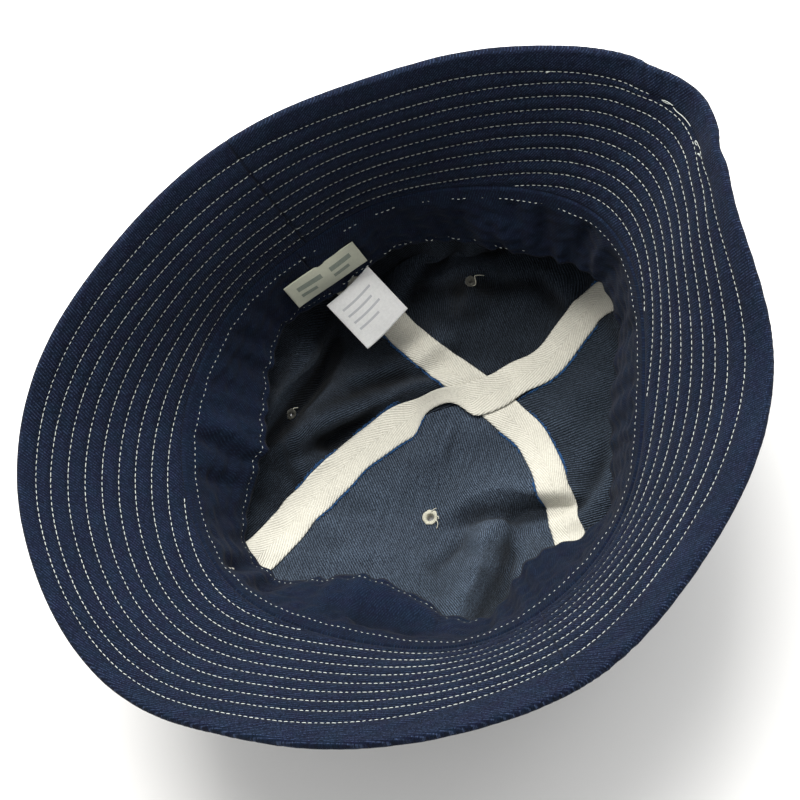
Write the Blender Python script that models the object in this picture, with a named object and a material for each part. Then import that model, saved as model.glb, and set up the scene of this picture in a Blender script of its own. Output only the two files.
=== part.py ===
"""Denim army hat, lying upside down on its collapsed crown with the head opening facing up.

Metres, +Z up, floor at z = 0. +X is the hat's long, front-to-back axis. Azimuths are in degrees,
counter-clockwise from +X, seen from above.
"""

import math
from collections import namedtuple

import bmesh
import bpy
import numpy as np
from mathutils import Vector
from mathutils.bvhtree import BVHTree

# Driving sizes

OPENING_RADIUS = 0.0930  # mean radius of the seam that joins brim, crown and sweatband
SEAM_HEIGHT = 0.0660  # how high the collapsed crown holds that seam above the floor
CLOTH = 0.0012  # one ply of denim
GAP = 0.0003  # between two pieces that touch

BRIM_WIDTH = 0.0680
BRIM_THICKNESS = 0.0026  # two plies of denim, stitched together
BRIM_ROLL = 26.0  # degrees by which the brim's sides flatten from seam to edge

BAND_HEIGHT = 0.0320
TAPE_WIDTH = 0.0150
TAPE_THICKNESS = 0.0008
CLOTH_SEAT = 2 * GAP  # from the crown's curved face to what is sewn on it

BUTTON_RADIUS = 0.0016  # the gores stop this far from the point where they meet

VENT_RADIUS = 0.0021  # hole through the cloth
EYELET_WALL = 0.0009  # thread thickness on each side of the cloth
EYELET_RADIUS = 0.0040  # outside of the thread ring

LABEL_THICKNESS = 0.0004

# Mesh density

BRIM_COLUMNS = 96
BRIM_ROWS = 6
BAND_COLUMNS = 80
BAND_ROWS = 5
GORE_COLUMNS = 12
GORE_ROWS = 18
TAPE_COLUMNS = 5
TAPE_ROWS = 24
LABEL_COLUMNS = 7
LABEL_ROWS = 5
EYELET_SIDES = 14

# The rim, one row for each 20 degrees of azimuth from 0. opening: the seam's radius, as a share of
# OPENING_RADIUS. slope: degrees by which the brim rises. sweep: degrees by which its lines of
# slope turn from straight outwards. band_lean: how far the sweatband leans in, as a share of its
# own height.

RimRow = namedtuple("RimRow", "opening slope sweep band_lean")
RIM = (
    RimRow(1.08, 40, -7, 0.44),
    RimRow(1.01, 50, -24, 0.48),
    RimRow(0.94, 65, -16, 0.32),
    RimRow(0.91, 71, -13, 0.20),
    RimRow(0.89, 69, -3, 0.18),
    RimRow(0.93, 69, 9, 0.20),
    RimRow(0.98, 61, 14, 0.42),
    RimRow(1.03, 45, 15, 0.62),
    RimRow(1.06, 41, 0, 0.24),
    RimRow(1.07, 40, -4, 0.26),
    RimRow(1.02, 46, -12, 0.62),
    RimRow(1.00, 52, -3, 0.44),
    RimRow(1.02, 56, 3, 0.14),
    RimRow(1.01, 52, 2, 0.56),
    RimRow(0.99, 50, 4, 0.44),
    RimRow(0.96, 43, 3, 0.44),
    RimRow(0.95, 41, 7, 0.50),
    RimRow(1.02, 48, 17, 0.38),
)

# The crown, one row for each gore's middle and each seam between two gores, by azimuth. in_high
# and in_half: how far the wall has come in at three quarters and at half of the seam's height,
# as shares of the level distance from seam to crossing (a minus sign bulges out). foot_in and
# foot_rise: where the wall turns into the floor, in that share and as a share of SEAM_HEIGHT.
# foot_sway, floor_sway: how far the cloth lies to the left there and halfway along the floor, as
# shares of OPENING_RADIUS. floor_rise: its height halfway along the floor.

CrownRow = namedtuple(
    "CrownRow", "azimuth in_high in_half foot_in foot_rise foot_sway floor_sway floor_rise"
)
CROWN = (
    CrownRow(32, -0.10, -0.10, 0.12, 0.08, 0.02, 0.00, 0.02),
    CrownRow(80, -0.03, -0.04, 0.07, 0.07, 0.00, -0.02, 0.02),
    CrownRow(125, 0.01, 0.04, 0.22, 0.17, 0.05, 0.05, 0.05),
    CrownRow(170, 0.01, 0.05, 0.31, 0.18, 0.11, 0.17, 0.03),
    CrownRow(221, 0.02, 0.07, 0.33, 0.21, 0.06, 0.09, 0.07),
    CrownRow(272, 0.01, 0.06, 0.26, 0.13, 0.05, -0.05, 0.02),
    CrownRow(308, -0.07, -0.08, 0.14, 0.09, 0.00, 0.00, 0.02),
    CrownRow(345, -0.11, -0.09, 0.30, 0.07, -0.03, -0.02, 0.01),
)
SEAMS = (1, 3, 5, 7)  # the rows of CROWN that lie on a seam
ROW_COUNT = len(CROWN)

# Where the six stations of a crown line lie on the way from seam to crossing, the heights of the
# second and third, as shares of SEAM_HEIGHT, and the crossing itself, from the opening's centre,
# in shares of OPENING_RADIUS.

STATIONS = (0.0, 0.11, 0.22, 0.45, 0.73, 1.0)
HIGH_SHARE = 0.75
HALF_SHARE = 0.50
CROSSING_X = 0.226
CROSSING_Y = 0.054

# The crown's weight presses cloth lower than REST_FLAT down to the floor, and leaves alone what
# is higher than REST_FREE, both as shares of SEAM_HEIGHT.

REST_FLAT = 0.045
REST_FREE = 0.20

# Soft folds in the crown, seen from above. x, y: the fold's middle, from the opening's centre.
# heading: the azimuth that it runs along. length, width: its reach each way. These are shares of
# OPENING_RADIUS. rise: its height, as a share of SEAM_HEIGHT.

Fold = namedtuple("Fold", "x y heading length width rise")
FOLDS = (
    Fold(-0.06, 0.06, 165, 0.28, 0.10, 0.085),
    Fold(-0.02, -0.13, 205, 0.16, 0.08, -0.060),
    Fold(-0.13, -0.47, 250, 0.24, 0.12, 0.070),
    Fold(0.46, -0.42, 300, 0.22, 0.12, 0.060),
    Fold(-0.28, 0.50, 160, 0.30, 0.12, 0.080),
    Fold(0.18, 0.46, 10, 0.16, 0.09, 0.055),
    Fold(0.51, 0.43, 55, 0.18, 0.14, 0.150),
)

# The vent of each gore. place: in rows of CROWN. way: share of the way from seam to crossing.

Vent = namedtuple("Vent", "place way")
VENTS = (Vent(0.27, 0.58), Vent(2.15, 0.45), Vent(3.91, 0.57), Vent(6.00, 0.38))

# The tapes, each along two opposite rows of SEAMS. layer: how many tapes it crosses over.

Tape = namedtuple("Tape", "name first last layer")
TAPES = (Tape("seam_tape_lower", 0, 2, 0), Tape("seam_tape_upper", 1, 3, 1))
TAPE_ENDS = (0.02, 0.95)  # where its rows start and stop, in shares of the way to the crossing

# Colours: base colour and roughness of each finish

DARK_DENIM = ((0.010, 0.022, 0.060), 0.85)
CROWN_DENIM = ((0.075, 0.105, 0.160), 0.88)
CREAM_TAPE = ((0.720, 0.640, 0.480), 0.80)
THREAD = ((0.700, 0.660, 0.560), 0.75)
WOVEN_CLOTH = ((0.380, 0.390, 0.300), 0.80)
SATIN = ((0.820, 0.810, 0.780), 0.50)

# The labels. drop: where the top edge lies on the sweatband, from 0 at the seam to 1 at its free
# edge. lean: degrees by which the label leans in.

Label = namedtuple("Label", "name azimuth drop width length lean finish")
LABELS = (
    Label("woven_label", 83, 0.42, 0.0330, 0.0130, 22, WOVEN_CLOTH),
    Label("care_label", 79, 0.95, 0.0240, 0.0240, 62, SATIN),
)


# Curves through tables

def through_ring(values, turns):
    """Smooth closed curve through evenly spaced values, a cubic B-spline, read at turns of 0 to 1."""
    values = np.asarray(values, float)
    count = len(values)
    waves = 2 * math.pi * np.arange(count) / count
    controls = np.fft.ifft(np.fft.fft(values) / ((4 + 2 * np.cos(waves)) / 6)).real
    along = np.asarray(turns, float) * count
    first = np.floor(along).astype(int)
    t = along - first
    weights = (
        (1 - t) ** 3,
        3 * t**3 - 6 * t**2 + 4,
        -3 * t**3 + 3 * t**2 + 3 * t + 1,
        t**3,
    )
    return sum(w * controls[(first + i - 1) % count] for i, w in enumerate(weights)) / 6


def through_stations(knots, values, at):
    """Smooth open curve (natural cubic) through values at the knots, read at every at in 0 to 1."""
    knots = np.asarray(knots)
    steps = np.diff(knots)
    count = len(knots)
    matrix = np.eye(count)
    right = np.zeros((count,) + values.shape[1:])
    jumps = np.diff(values, axis=0) / steps.reshape((-1,) + (1,) * (values.ndim - 1))
    for i in range(1, count - 1):
        matrix[i, i - 1 : i + 2] = steps[i - 1], 2 * (steps[i - 1] + steps[i]), steps[i]
        right[i] = 6 * (jumps[i] - jumps[i - 1])
    bend = np.linalg.solve(matrix, right.reshape(count, -1)).reshape(right.shape)
    i = np.clip(np.searchsorted(knots, at, side="right") - 1, 0, count - 2)
    h = steps[i]
    a = (knots[i + 1] - at) / h
    b = 1 - a
    columns = tuple(np.indices(at.shape))
    low, high = (i,) + columns, (i + 1,) + columns
    curve = a * values[low] + b * values[high]
    return curve + ((a**3 - a) * bend[low] + (b**3 - b) * bend[high]) * h**2 / 6


def rim_value(name, azimuth):
    return through_ring([getattr(row, name) for row in RIM], np.asarray(azimuth) / 360)


def opening_radius(azimuth):
    return OPENING_RADIUS * rim_value("opening", azimuth)


def level(azimuth, radius):
    """x and y of a point at this azimuth and radius, with z = 0."""
    angle = np.radians(azimuth)
    return np.stack([radius * np.cos(angle), radius * np.sin(angle), 0 * angle], -1)


def unit(vectors):
    return vectors / np.linalg.norm(vectors, axis=-1, keepdims=True)


def outwards(azimuth):
    """Level unit vector square to the seam's curve, pointing away from the hollow."""
    step = 0.5
    ahead = level(azimuth + step, opening_radius(azimuth + step))
    behind = level(azimuth - step, opening_radius(azimuth - step))
    along = unit(ahead - behind)
    return np.stack([along[..., 1], -along[..., 0], 0 * along[..., 0]], -1)


# Crown surface

CROSSING = np.array([CROSSING_X * OPENING_RADIUS, CROSSING_Y * OPENING_RADIUS, CLOTH])


def brim_slope(azimuth):
    """Slope of the brim where it leaves the seam, in radians."""
    roll = BRIM_ROLL / 2 * (1 - np.cos(np.radians(2 * np.asarray(azimuth))))
    return np.radians(rim_value("slope", azimuth) + roll / 2)


def crown_top(azimuth):
    """Height of the crown's upper edge, which stands just under the brim's sloping end."""
    return SEAM_HEIGHT - 1.5 * GAP - CLOTH / 2 / np.tan(brim_slope(azimuth))


def crown_value(name, place):
    return through_ring([getattr(row, name) for row in CROWN], np.asarray(place) / ROW_COUNT)


def crown_azimuth(place):
    """Azimuth of a place counted in rows of CROWN: an even turn plus what each row adds to it."""
    even = 360 / ROW_COUNT
    extra = [row.azimuth - even * i for i, row in enumerate(CROWN)]
    return even * np.asarray(place) + through_ring(extra, np.asarray(place) / ROW_COUNT)


def fold_height(point):
    """Height that the folds add over a level point, each one a long soft mound."""
    total = 0
    for fold in FOLDS:
        away = point[..., :2] / OPENING_RADIUS - (fold.x, fold.y)
        heading = math.radians(fold.heading)
        along = away[..., 0] * math.cos(heading) + away[..., 1] * math.sin(heading)
        across = away[..., 1] * math.cos(heading) - away[..., 0] * math.sin(heading)
        mound = np.exp(-((along / fold.length) ** 2) - (across / fold.width) ** 2)
        total = total + SEAM_HEIGHT * fold.rise * mound
    return total


def crown_point(place, way):
    """Inner face of the crown: a smooth line through six stations from the seam to the crossing."""
    place, way = np.broadcast_arrays(np.asarray(place, float), np.asarray(way, float))
    one = np.ones_like(place)
    foot_in = crown_value("foot_in", place)
    foot_rise = crown_value("foot_rise", place)
    floor_rise = crown_value("floor_rise", place)
    in_high = crown_value("in_high", place)
    in_half = crown_value("in_half", place)
    inward = np.stack([0 * one, in_high, in_half, foot_in, (foot_in + 1) / 2, one])
    rise = np.stack([one, HIGH_SHARE * one, HALF_SHARE * one, foot_rise, floor_rise, 0 * one])
    foot_sway = crown_value("foot_sway", place)
    floor_sway = crown_value("floor_sway", place)
    sway = np.stack([0 * one, 0 * one, 0 * one, foot_sway, floor_sway, 0 * one])
    q = through_stations(STATIONS, inward, way)
    azimuth = crown_azimuth(place)
    seam = level(azimuth, opening_radius(azimuth))
    run = CROSSING * [1, 1, 0] - seam
    height = crown_top(azimuth) * through_stations(STATIONS, rise, way)
    aside = OPENING_RADIUS * through_stations(STATIONS, sway, way)
    left = unit(np.stack([-run[..., 1], run[..., 0], 0 * one], -1))
    point = seam + q[..., None] * run + aside[..., None] * left
    # The folds fade out up the wall, and leave its edge at the seam as it is.
    height = height + fold_height(point) * np.clip(way / STATIONS[2], 0, 1)
    point[..., 2] = CLOTH + rested(height)
    return point


def rested(height):
    """What the floor leaves of a height: low cloth lies flat, and higher cloth stays as it is."""
    share = (height / SEAM_HEIGHT - REST_FLAT) / (REST_FREE - REST_FLAT)
    ease = np.clip(share, 0, 1)
    return (height - CLOTH * height / SEAM_HEIGHT) * ease**2 * (3 - 2 * ease)


def crown_normal(place, way):
    """Unit vector square to the crown's inner face, pointing into the hollow."""
    step_place, step_way = 0.02, 0.004
    across = crown_point(place + step_place, way) - crown_point(place - step_place, way)
    down = crown_point(place, way + step_way) - crown_point(place, way - step_way)
    return unit(np.cross(down, -across))


# Sweatband surface

def place_of_azimuth(azimuth):
    """The place in rows of CROWN that has this azimuth."""
    places = np.linspace(-ROW_COUNT, 2 * ROW_COUNT, 60 * ROW_COUNT)
    return np.interp(azimuth, crown_azimuth(places), places)


def band_point(azimuth, drop, depth):
    """A point of the sweatband, which hangs from the seam and leans in from the crown's wall.

    drop is 0 at the seam and 1 at the free edge, depth is 0 on the face towards the crown and
    grows into the hollow.
    """
    azimuth, drop = np.broadcast_arrays(np.asarray(azimuth, float), np.asarray(drop, float))
    lean = rim_value("band_lean", azimuth)
    fall = BAND_HEIGHT * np.sqrt(1 - lean**2) * drop
    wall = crown_inset(azimuth, 1 - fall / SEAM_HEIGHT)
    clear = CLOTH_SEAT + TAPE_THICKNESS + GAP
    inward = clear + depth + np.maximum(wall, 0) + lean * BAND_HEIGHT * drop
    point = level(azimuth, opening_radius(azimuth)) - inward[..., None] * outwards(azimuth)
    point[..., 2] = SEAM_HEIGHT - GAP - fall
    return point


def crown_inset(azimuth, rise):
    """How far the crown's wall has come in from the seam at this share of its height."""
    place = place_of_azimuth(azimuth)
    seam = level(azimuth, opening_radius(azimuth))
    reach = np.linalg.norm(CROSSING[:2] - seam[..., :2], axis=-1)
    shares = (1.0, HIGH_SHARE, HALF_SHARE)
    insets = (0, crown_value("in_high", place), crown_value("in_half", place))
    upper = (shares[0] - rise) / (shares[0] - shares[1])
    lower = (shares[1] - rise) / (shares[1] - shares[2])
    inset = np.where(upper < 1, upper * insets[1], insets[1] + lower * (insets[2] - insets[1]))
    return inset * reach


# Mesh helpers

def material(name, finish):
    colour, roughness = finish
    made = bpy.data.materials.new(name)
    made.use_nodes = True
    shader = made.node_tree.nodes["Principled BSDF"]
    shader.inputs["Base Color"].default_value = (*colour, 1)
    shader.inputs["Roughness"].default_value = roughness
    shader.inputs["Metallic"].default_value = 0
    return made


def place_on_hat(made):
    """Puts an object into the scene and under the empty that carries the whole hat."""
    bpy.context.scene.collection.objects.link(made)
    made.parent = bpy.data.objects[HAT]


def piece(name, points, faces, finish):
    """One closed object from points and faces, shaded smooth, with its faces pointing out."""
    mesh = bpy.data.meshes.new(name)
    mesh.from_pydata(np.asarray(points).reshape(-1, 3).tolist(), [], faces)
    shape = bmesh.new()
    shape.from_mesh(mesh)
    bmesh.ops.recalc_face_normals(shape, faces=shape.faces)
    shape.to_mesh(mesh)
    shape.free()
    mesh.shade_smooth()
    mesh.set_sharp_from_angle(angle=math.radians(40))
    mesh.materials.append(material(name, finish))
    made = bpy.data.objects.new(name, mesh)
    place_on_hat(made)
    return made


def grid_faces(rows, columns, start=0, close_rows=False, close_columns=False):
    """Quads of a grid whose point (row, column) is number start + row * columns + column."""
    faces = []
    for row in range(rows if close_rows else rows - 1):
        for column in range(columns if close_columns else columns - 1):
            next_row, next_column = (row + 1) % rows, (column + 1) % columns
            faces.append(
                (
                    start + row * columns + column,
                    start + row * columns + next_column,
                    start + next_row * columns + next_column,
                    start + next_row * columns + column,
                )
            )
    return faces


def ring_piece(name, points, finish):
    """A ring whose grid of points (round, section, 3) closes both ways."""
    rounds, section = points.shape[:2]
    return piece(name, points, grid_faces(rounds, section, 0, True, True), finish)


def slab_piece(name, front, back, finish):
    """A sheet between two grids of points of one shape, closed round its edge."""
    rows, columns = front.shape[:2]
    count = rows * columns
    faces = grid_faces(rows, columns)
    faces += [tuple(count + i for i in reversed(face)) for face in faces]
    edge = list(range(columns))
    edge += [row * columns + columns - 1 for row in range(1, rows)]
    edge += [count - 1 - column for column in range(1, columns)]
    edge += [(rows - 1 - row) * columns for row in range(1, rows - 1)]
    for here, there in zip(edge, edge[1:] + edge[:1]):
        faces.append((there, here, count + here, count + there))
    return piece(name, np.concatenate([front.reshape(-1, 3), back.reshape(-1, 3)]), faces, finish)


# Brim

def brim_point(azimuth, share):
    """Middle of the brim's thickness: straight lines of slope that leave the seam and roll out."""
    azimuth, share = np.broadcast_arrays(np.asarray(azimuth, float), np.asarray(share, float))
    out = outwards(azimuth)
    around = np.stack([-out[..., 1], out[..., 0], 0 * out[..., 0]], -1)
    sweep = np.radians(rim_value("sweep", azimuth))[..., None]
    level_run = out * np.cos(sweep) + around * np.sin(sweep)
    start = brim_slope(azimuth)
    roll = 2 * (start - np.radians(rim_value("slope", azimuth)))
    # The slope falls evenly by the roll, so its sine and cosine are summed over short steps.
    steps = 24
    forward = 0
    upward = 0
    for step in range(steps):
        middle = share * (step + 0.5) / steps
        angle = start - roll * middle
        forward = forward + np.cos(angle) * share / steps
        upward = upward + np.sin(angle) * share / steps
    point = level(azimuth, opening_radius(azimuth)) + out * CLOTH / 2
    point = point + BRIM_WIDTH * forward[..., None] * level_run
    point[..., 2] = SEAM_HEIGHT + BRIM_WIDTH * upward
    return point


def brim_normal(azimuth, share):
    """Unit vector square to the brim, pointing up and into the hollow."""
    step_azimuth, step_share = 0.5, 0.01
    around = brim_point(azimuth + step_azimuth, share) - brim_point(azimuth - step_azimuth, share)
    out = brim_point(azimuth, share + step_share) - brim_point(azimuth, share - step_share)
    return unit(np.cross(out, around))


def brim_ring():
    """The brim's points (round, section): its upper face, its round edge and its lower face."""
    azimuth = np.linspace(0, 360, BRIM_COLUMNS, endpoint=False)[:, None]
    half = BRIM_THICKNESS / 2
    shares = np.linspace(0, 1 - 0.8 * half / BRIM_WIDTH, BRIM_ROWS)
    section = [(share, half) for share in shares]
    section += [(1.0, half * 0.5), (1.0, -half * 0.5)]
    section += [(share, -half) for share in shares[::-1]]
    share, offset = np.array(section).T[:, None, :]
    return brim_point(azimuth, share) + offset[..., None] * brim_normal(azimuth, share)


# Crown gores

def gore_places(first, last, ways):
    """Places across a gore, on a grid (way, place), that leave half a gap at each of its seams."""
    shares = np.linspace(0, 1, GORE_COLUMNS + 1)
    step = 0.05
    margins = []
    for edge in (first, last):
        near = crown_point(edge - step, ways)
        far = crown_point(edge + step, ways)
        speed = np.linalg.norm(far - near, axis=-1) / (2 * step)
        margins.append(GAP / 2 / speed)
    low, high = first + margins[0], last - margins[1]
    return low[:, None] + (high - low)[:, None] * shares


def crown_ways():
    """Rows from the seam to the last one before the crossing."""
    return np.linspace(0, 1 - BUTTON_RADIUS / OPENING_RADIUS, GORE_ROWS + 1)


def vent_cutter(name, vent):
    """Round bar through the cloth, square to it, that cuts a vent."""
    centre = Vector(crown_point(vent.place, vent.way))
    normal = Vector(crown_normal(vent.place, vent.way))
    mesh = bpy.data.meshes.new(name)
    shape = bmesh.new()
    bmesh.ops.create_cone(
        shape, cap_ends=True, segments=EYELET_SIDES, radius1=VENT_RADIUS, radius2=VENT_RADIUS,
        depth=8 * CLOTH,
    )
    shape.to_mesh(mesh)
    shape.free()
    cutter = bpy.data.objects.new(name, mesh)
    cutter.rotation_mode = "QUATERNION"
    cutter.rotation_quaternion = normal.to_track_quat("Z", "Y")
    cutter.location = centre - normal * CLOTH / 2
    cutter.hide_render = True
    cutter.display_type = "WIRE"
    place_on_hat(cutter)
    return cutter


def make_gore(number, first, last, vent):
    """One gore of the crown with its vent cut through it, and the trees of its two faces."""
    ways = crown_ways()
    places = gore_places(first, last, ways)
    grid_ways = np.broadcast_to(ways[:, None], places.shape)
    inner = crown_point(places, grid_ways)
    outer = inner - CLOTH * crown_normal(places, grid_ways)
    # The top edge is level, so that it stays under the brim where the wall bulges out.
    outer[0] = inner[0] + CLOTH * outwards(crown_azimuth(places[0]))
    gore = slab_piece(f"crown_gore_{number}", inner, outer, CROWN_DENIM)
    cut = gore.modifiers.new("vent", "BOOLEAN")
    cut.operation = "DIFFERENCE"
    cut.solver = "EXACT"
    cut.object = vent_cutter(f"vent_cutter_{number}", vent)
    faces = grid_faces(*places.shape)
    return [BVHTree.FromPolygons(face.reshape(-1, 3).tolist(), faces) for face in (inner, outer)]


def cloth_height(tree, centre, normal, spokes, radii, side):
    """Highest reach of the cloth's face along side * normal, under each spoke at these radii."""
    reach = 4 * EYELET_RADIUS
    heights = []
    for spoke in spokes:
        found = []
        for radius in radii:
            start = Vector(centre + spoke * radius + side * reach * normal)
            hit = tree.ray_cast(start, Vector(-side * normal), 2 * reach)[0]
            found.append(side * (np.array(hit) - centre) @ normal)
        heights.append(max(found))
    return np.array(heights)


def make_eyelet(number, vent, trees):
    """Thread ring round a vent: a spool whose two flanges follow the cloth that they hold."""
    centre = crown_point(vent.place, vent.way)
    normal = crown_normal(vent.place, vent.way)
    side = unit(np.cross(normal, [0.3, 0.2, 1.0]))
    other = np.cross(normal, side)
    barrel = VENT_RADIUS - GAP
    bore = barrel - EYELET_WALL
    angles = np.linspace(0, 2 * math.pi, EYELET_SIDES, endpoint=False)
    spokes = np.cos(angles)[:, None] * side + np.sin(angles)[:, None] * other
    radii = np.linspace(barrel, EYELET_RADIUS, 6)
    top = CLOTH_SEAT + cloth_height(trees[0], centre, normal, spokes, radii, 1)
    bottom = -CLOTH_SEAT - cloth_height(trees[1], centre, normal, spokes, radii, -1)
    edge = EYELET_WALL / 2
    # Radius and height of each corner of the spool's half section.
    section = (
        (bore, top + edge),
        (barrel, top + EYELET_WALL),
        (EYELET_RADIUS, top + edge),
        (EYELET_RADIUS, top),
        (barrel, top),
        (barrel, bottom),
        (EYELET_RADIUS, bottom),
        (EYELET_RADIUS, bottom - edge),
        (barrel, bottom - EYELET_WALL),
        (bore, bottom - edge),
    )
    points = [centre + r * spokes + height[:, None] * normal for r, height in section]
    return ring_piece(f"vent_eyelet_{number}", np.stack(points, axis=1), THREAD)


# Sweatband

def make_band():
    azimuth = np.linspace(0, 360, BAND_COLUMNS, endpoint=False)[:, None]
    drops = np.linspace(0, 1, BAND_ROWS)
    outer = band_point(azimuth, drops, 0)
    inner = band_point(azimuth, drops[::-1], CLOTH)
    return ring_piece("sweatband", np.concatenate([outer, inner], axis=1), DARK_DENIM)


# Seam tapes

def crown_tree():
    """The crown's inner face as the gores have it, for laying the tapes on."""
    places = np.linspace(0, ROW_COUNT, 4 * GORE_COLUMNS, endpoint=False) - 1
    ways = np.append(crown_ways(), 1.0)
    points = crown_point(places[:, None], ways[None, :])
    faces = grid_faces(len(places), len(ways), 0, True, False)
    return BVHTree.FromPolygons(points.reshape(-1, 3).tolist(), faces)


def tape_path(first, last):
    """Points and normals down one seam, over the crossing and up the opposite seam."""
    ways = np.linspace(*TAPE_ENDS, TAPE_ROWS)
    down = crown_point(first, ways)
    up = crown_point(last, ways[::-1])
    points = np.concatenate([down, CROSSING[None], up])
    normals = np.concatenate(
        [crown_normal(first, ways), [[0, 0, 1]], crown_normal(last, ways[::-1])]
    )
    return points, normals


def make_tape(tape, tree):
    """A flat tape laid on the crown along two seams, lifted where it crosses another tape."""
    points, normals = tape_path(SEAMS[tape.first], SEAMS[tape.last])
    along = unit(np.gradient(points, axis=0))
    across = unit(np.cross(normals, along))
    # The lift is whole to just past the other tape's half width and eases out over a tape's width.
    far = np.linalg.norm((points - CROSSING)[:, :2], axis=-1)
    ease = np.clip(far / TAPE_WIDTH - 0.9, 0, 1)
    lift = tape.layer * (TAPE_THICKNESS + CLOTH_SEAT) * (1 - ease**2 * (3 - 2 * ease))
    offsets = np.linspace(-0.5, 0.5, TAPE_COLUMNS) * TAPE_WIDTH
    search = 10 * CLOTH
    rows = []
    for point, normal, side in zip(points, normals, across):
        row = []
        for offset in offsets:
            start = Vector(point + side * offset + normal * search)
            found = tree.ray_cast(start, Vector(-normal), 2 * search)[0]
            row.append(found if found is not None else start - Vector(normal) * search)
        rows.append(row)
    back = np.array(rows) + (CLOTH_SEAT + lift)[:, None, None] * normals[:, None, :]
    face = back + TAPE_THICKNESS * normals[:, None, :]
    return slab_piece(tape.name, face, back, CREAM_TAPE)


# Labels

def make_label(label):
    """A small label whose top edge lies on the sweatband, and which leans in from it."""
    sides = np.linspace(-0.5, 0.5, LABEL_COLUMNS) * label.width
    spread = label.azimuth - np.degrees(sides / opening_radius(label.azimuth))
    top = band_point(spread, label.drop, CLOTH + GAP)
    inward = -outwards(np.asarray(float(label.azimuth)))
    upward = np.array([0, 0, 1.0])
    lean = math.radians(label.lean)
    down = math.sin(lean) * inward - math.cos(lean) * upward
    face = math.cos(lean) * inward + math.sin(lean) * upward
    shares = np.linspace(0, 1, LABEL_ROWS)[:, None, None]
    back = top[None] + shares * label.length * down
    return slab_piece(label.name, back + LABEL_THICKNESS * face, back, label.finish)


# The whole hat

HAT = "hat"


def hat_middle():
    """The middle of the brim's outline seen from above, which is the hat's origin."""
    points = brim_ring().reshape(-1, 3)
    return (points.min(0) + points.max(0)) / 2 * [1, 1, 0]


def build():
    for old in list(bpy.data.objects):
        bpy.data.objects.remove(old, do_unlink=True)
    hat = bpy.data.objects.new(HAT, None)
    hat.location = -hat_middle()
    bpy.context.scene.collection.objects.link(hat)
    ring_piece("brim", brim_ring(), DARK_DENIM)
    for number, (seam, vent) in enumerate(zip((-1,) + SEAMS[:3], VENTS), start=1):
        trees = make_gore(number, seam, seam + 2, vent)
        make_eyelet(number, vent, trees)
    make_band()
    tree = crown_tree()
    for tape in TAPES:
        make_tape(tape, tree)
    for label in LABELS:
        make_label(label)


build()
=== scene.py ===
"""Looks of a denim army hat that lies upside down on its crown, its head opening facing up.

Metres, +Z up, floor at z = 0. Azimuths are in degrees, counter-clockwise from +X, seen from above.
Every piece of cloth is a surface worked out with numpy on a grid of two parameters, front and
back, and its UV map is its flat pattern in metres.
"""

import math
from collections import namedtuple

import bpy
import numpy as np
from mathutils import Matrix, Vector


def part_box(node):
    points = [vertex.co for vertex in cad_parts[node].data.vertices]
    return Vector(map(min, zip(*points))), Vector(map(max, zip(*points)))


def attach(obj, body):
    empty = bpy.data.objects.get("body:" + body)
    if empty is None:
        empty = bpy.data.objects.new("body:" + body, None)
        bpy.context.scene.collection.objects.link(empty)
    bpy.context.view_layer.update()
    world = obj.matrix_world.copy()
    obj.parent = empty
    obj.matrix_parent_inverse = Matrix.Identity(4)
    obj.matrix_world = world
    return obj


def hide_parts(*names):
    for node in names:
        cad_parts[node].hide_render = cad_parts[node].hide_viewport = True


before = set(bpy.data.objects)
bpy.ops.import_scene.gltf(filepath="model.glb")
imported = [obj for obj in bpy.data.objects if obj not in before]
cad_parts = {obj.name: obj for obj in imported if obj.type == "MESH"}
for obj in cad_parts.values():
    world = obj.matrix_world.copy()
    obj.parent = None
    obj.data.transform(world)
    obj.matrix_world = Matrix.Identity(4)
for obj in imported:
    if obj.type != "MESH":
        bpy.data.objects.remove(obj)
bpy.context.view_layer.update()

# Sizes of the hat

OPENING_RADIUS = 0.0930
SEAM_HEIGHT = 0.0660
CLOTH = 0.0012
GAP = 0.0003
BRIM_WIDTH = 0.0680
BRIM_THICKNESS = 0.0026
BRIM_ROLL = 26.0
BAND_HEIGHT = 0.0320
TAPE_WIDTH = 0.0150
TAPE_THICKNESS = 0.0008
CLOTH_SEAT = 2 * GAP
BUTTON_RADIUS = 0.0016
VENT_RADIUS = 0.0021
LABEL_THICKNESS = 0.0004

# The rim, one row for each 20 degrees of azimuth. opening: the seam's radius, as a share of
# OPENING_RADIUS. slope: degrees by which the brim rises. sweep: degrees by which its lines of
# slope turn from straight outwards. band_lean: how far the sweatband leans in, as a share of its
# own height.

RimRow = namedtuple("RimRow", "opening slope sweep band_lean")
RIM = (
    RimRow(1.08, 40, -7, 0.44),
    RimRow(1.01, 50, -24, 0.48),
    RimRow(0.94, 65, -16, 0.32),
    RimRow(0.91, 71, -13, 0.20),
    RimRow(0.89, 69, -3, 0.29),
    RimRow(0.93, 69, 9, 0.20),
    RimRow(0.98, 61, 14, 0.42),
    RimRow(1.03, 45, 15, 0.62),
    RimRow(1.06, 41, 0, 0.12),
    RimRow(1.07, 40, -4, 0.14),
    RimRow(1.02, 46, -12, 0.62),
    RimRow(1.00, 52, -3, 0.44),
    RimRow(1.02, 56, 3, 0.14),
    RimRow(1.01, 52, 2, 0.56),
    RimRow(0.99, 50, 4, 0.37),
    RimRow(0.96, 43, 3, 0.44),
    RimRow(0.95, 41, 7, 0.50),
    RimRow(1.02, 48, 17, 0.38),
)

# The crown, one row for each gore's middle and each seam between two gores, by azimuth. in_high
# and in_half: how far the wall has come in at three quarters and at half of the seam's height,
# as shares of the level distance from seam to crossing. foot_in and foot_rise: where the wall
# turns into the floor. foot_sway, floor_sway: how far the cloth lies to the left there and
# halfway along the floor, as shares of OPENING_RADIUS. floor_rise: its height there.

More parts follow.
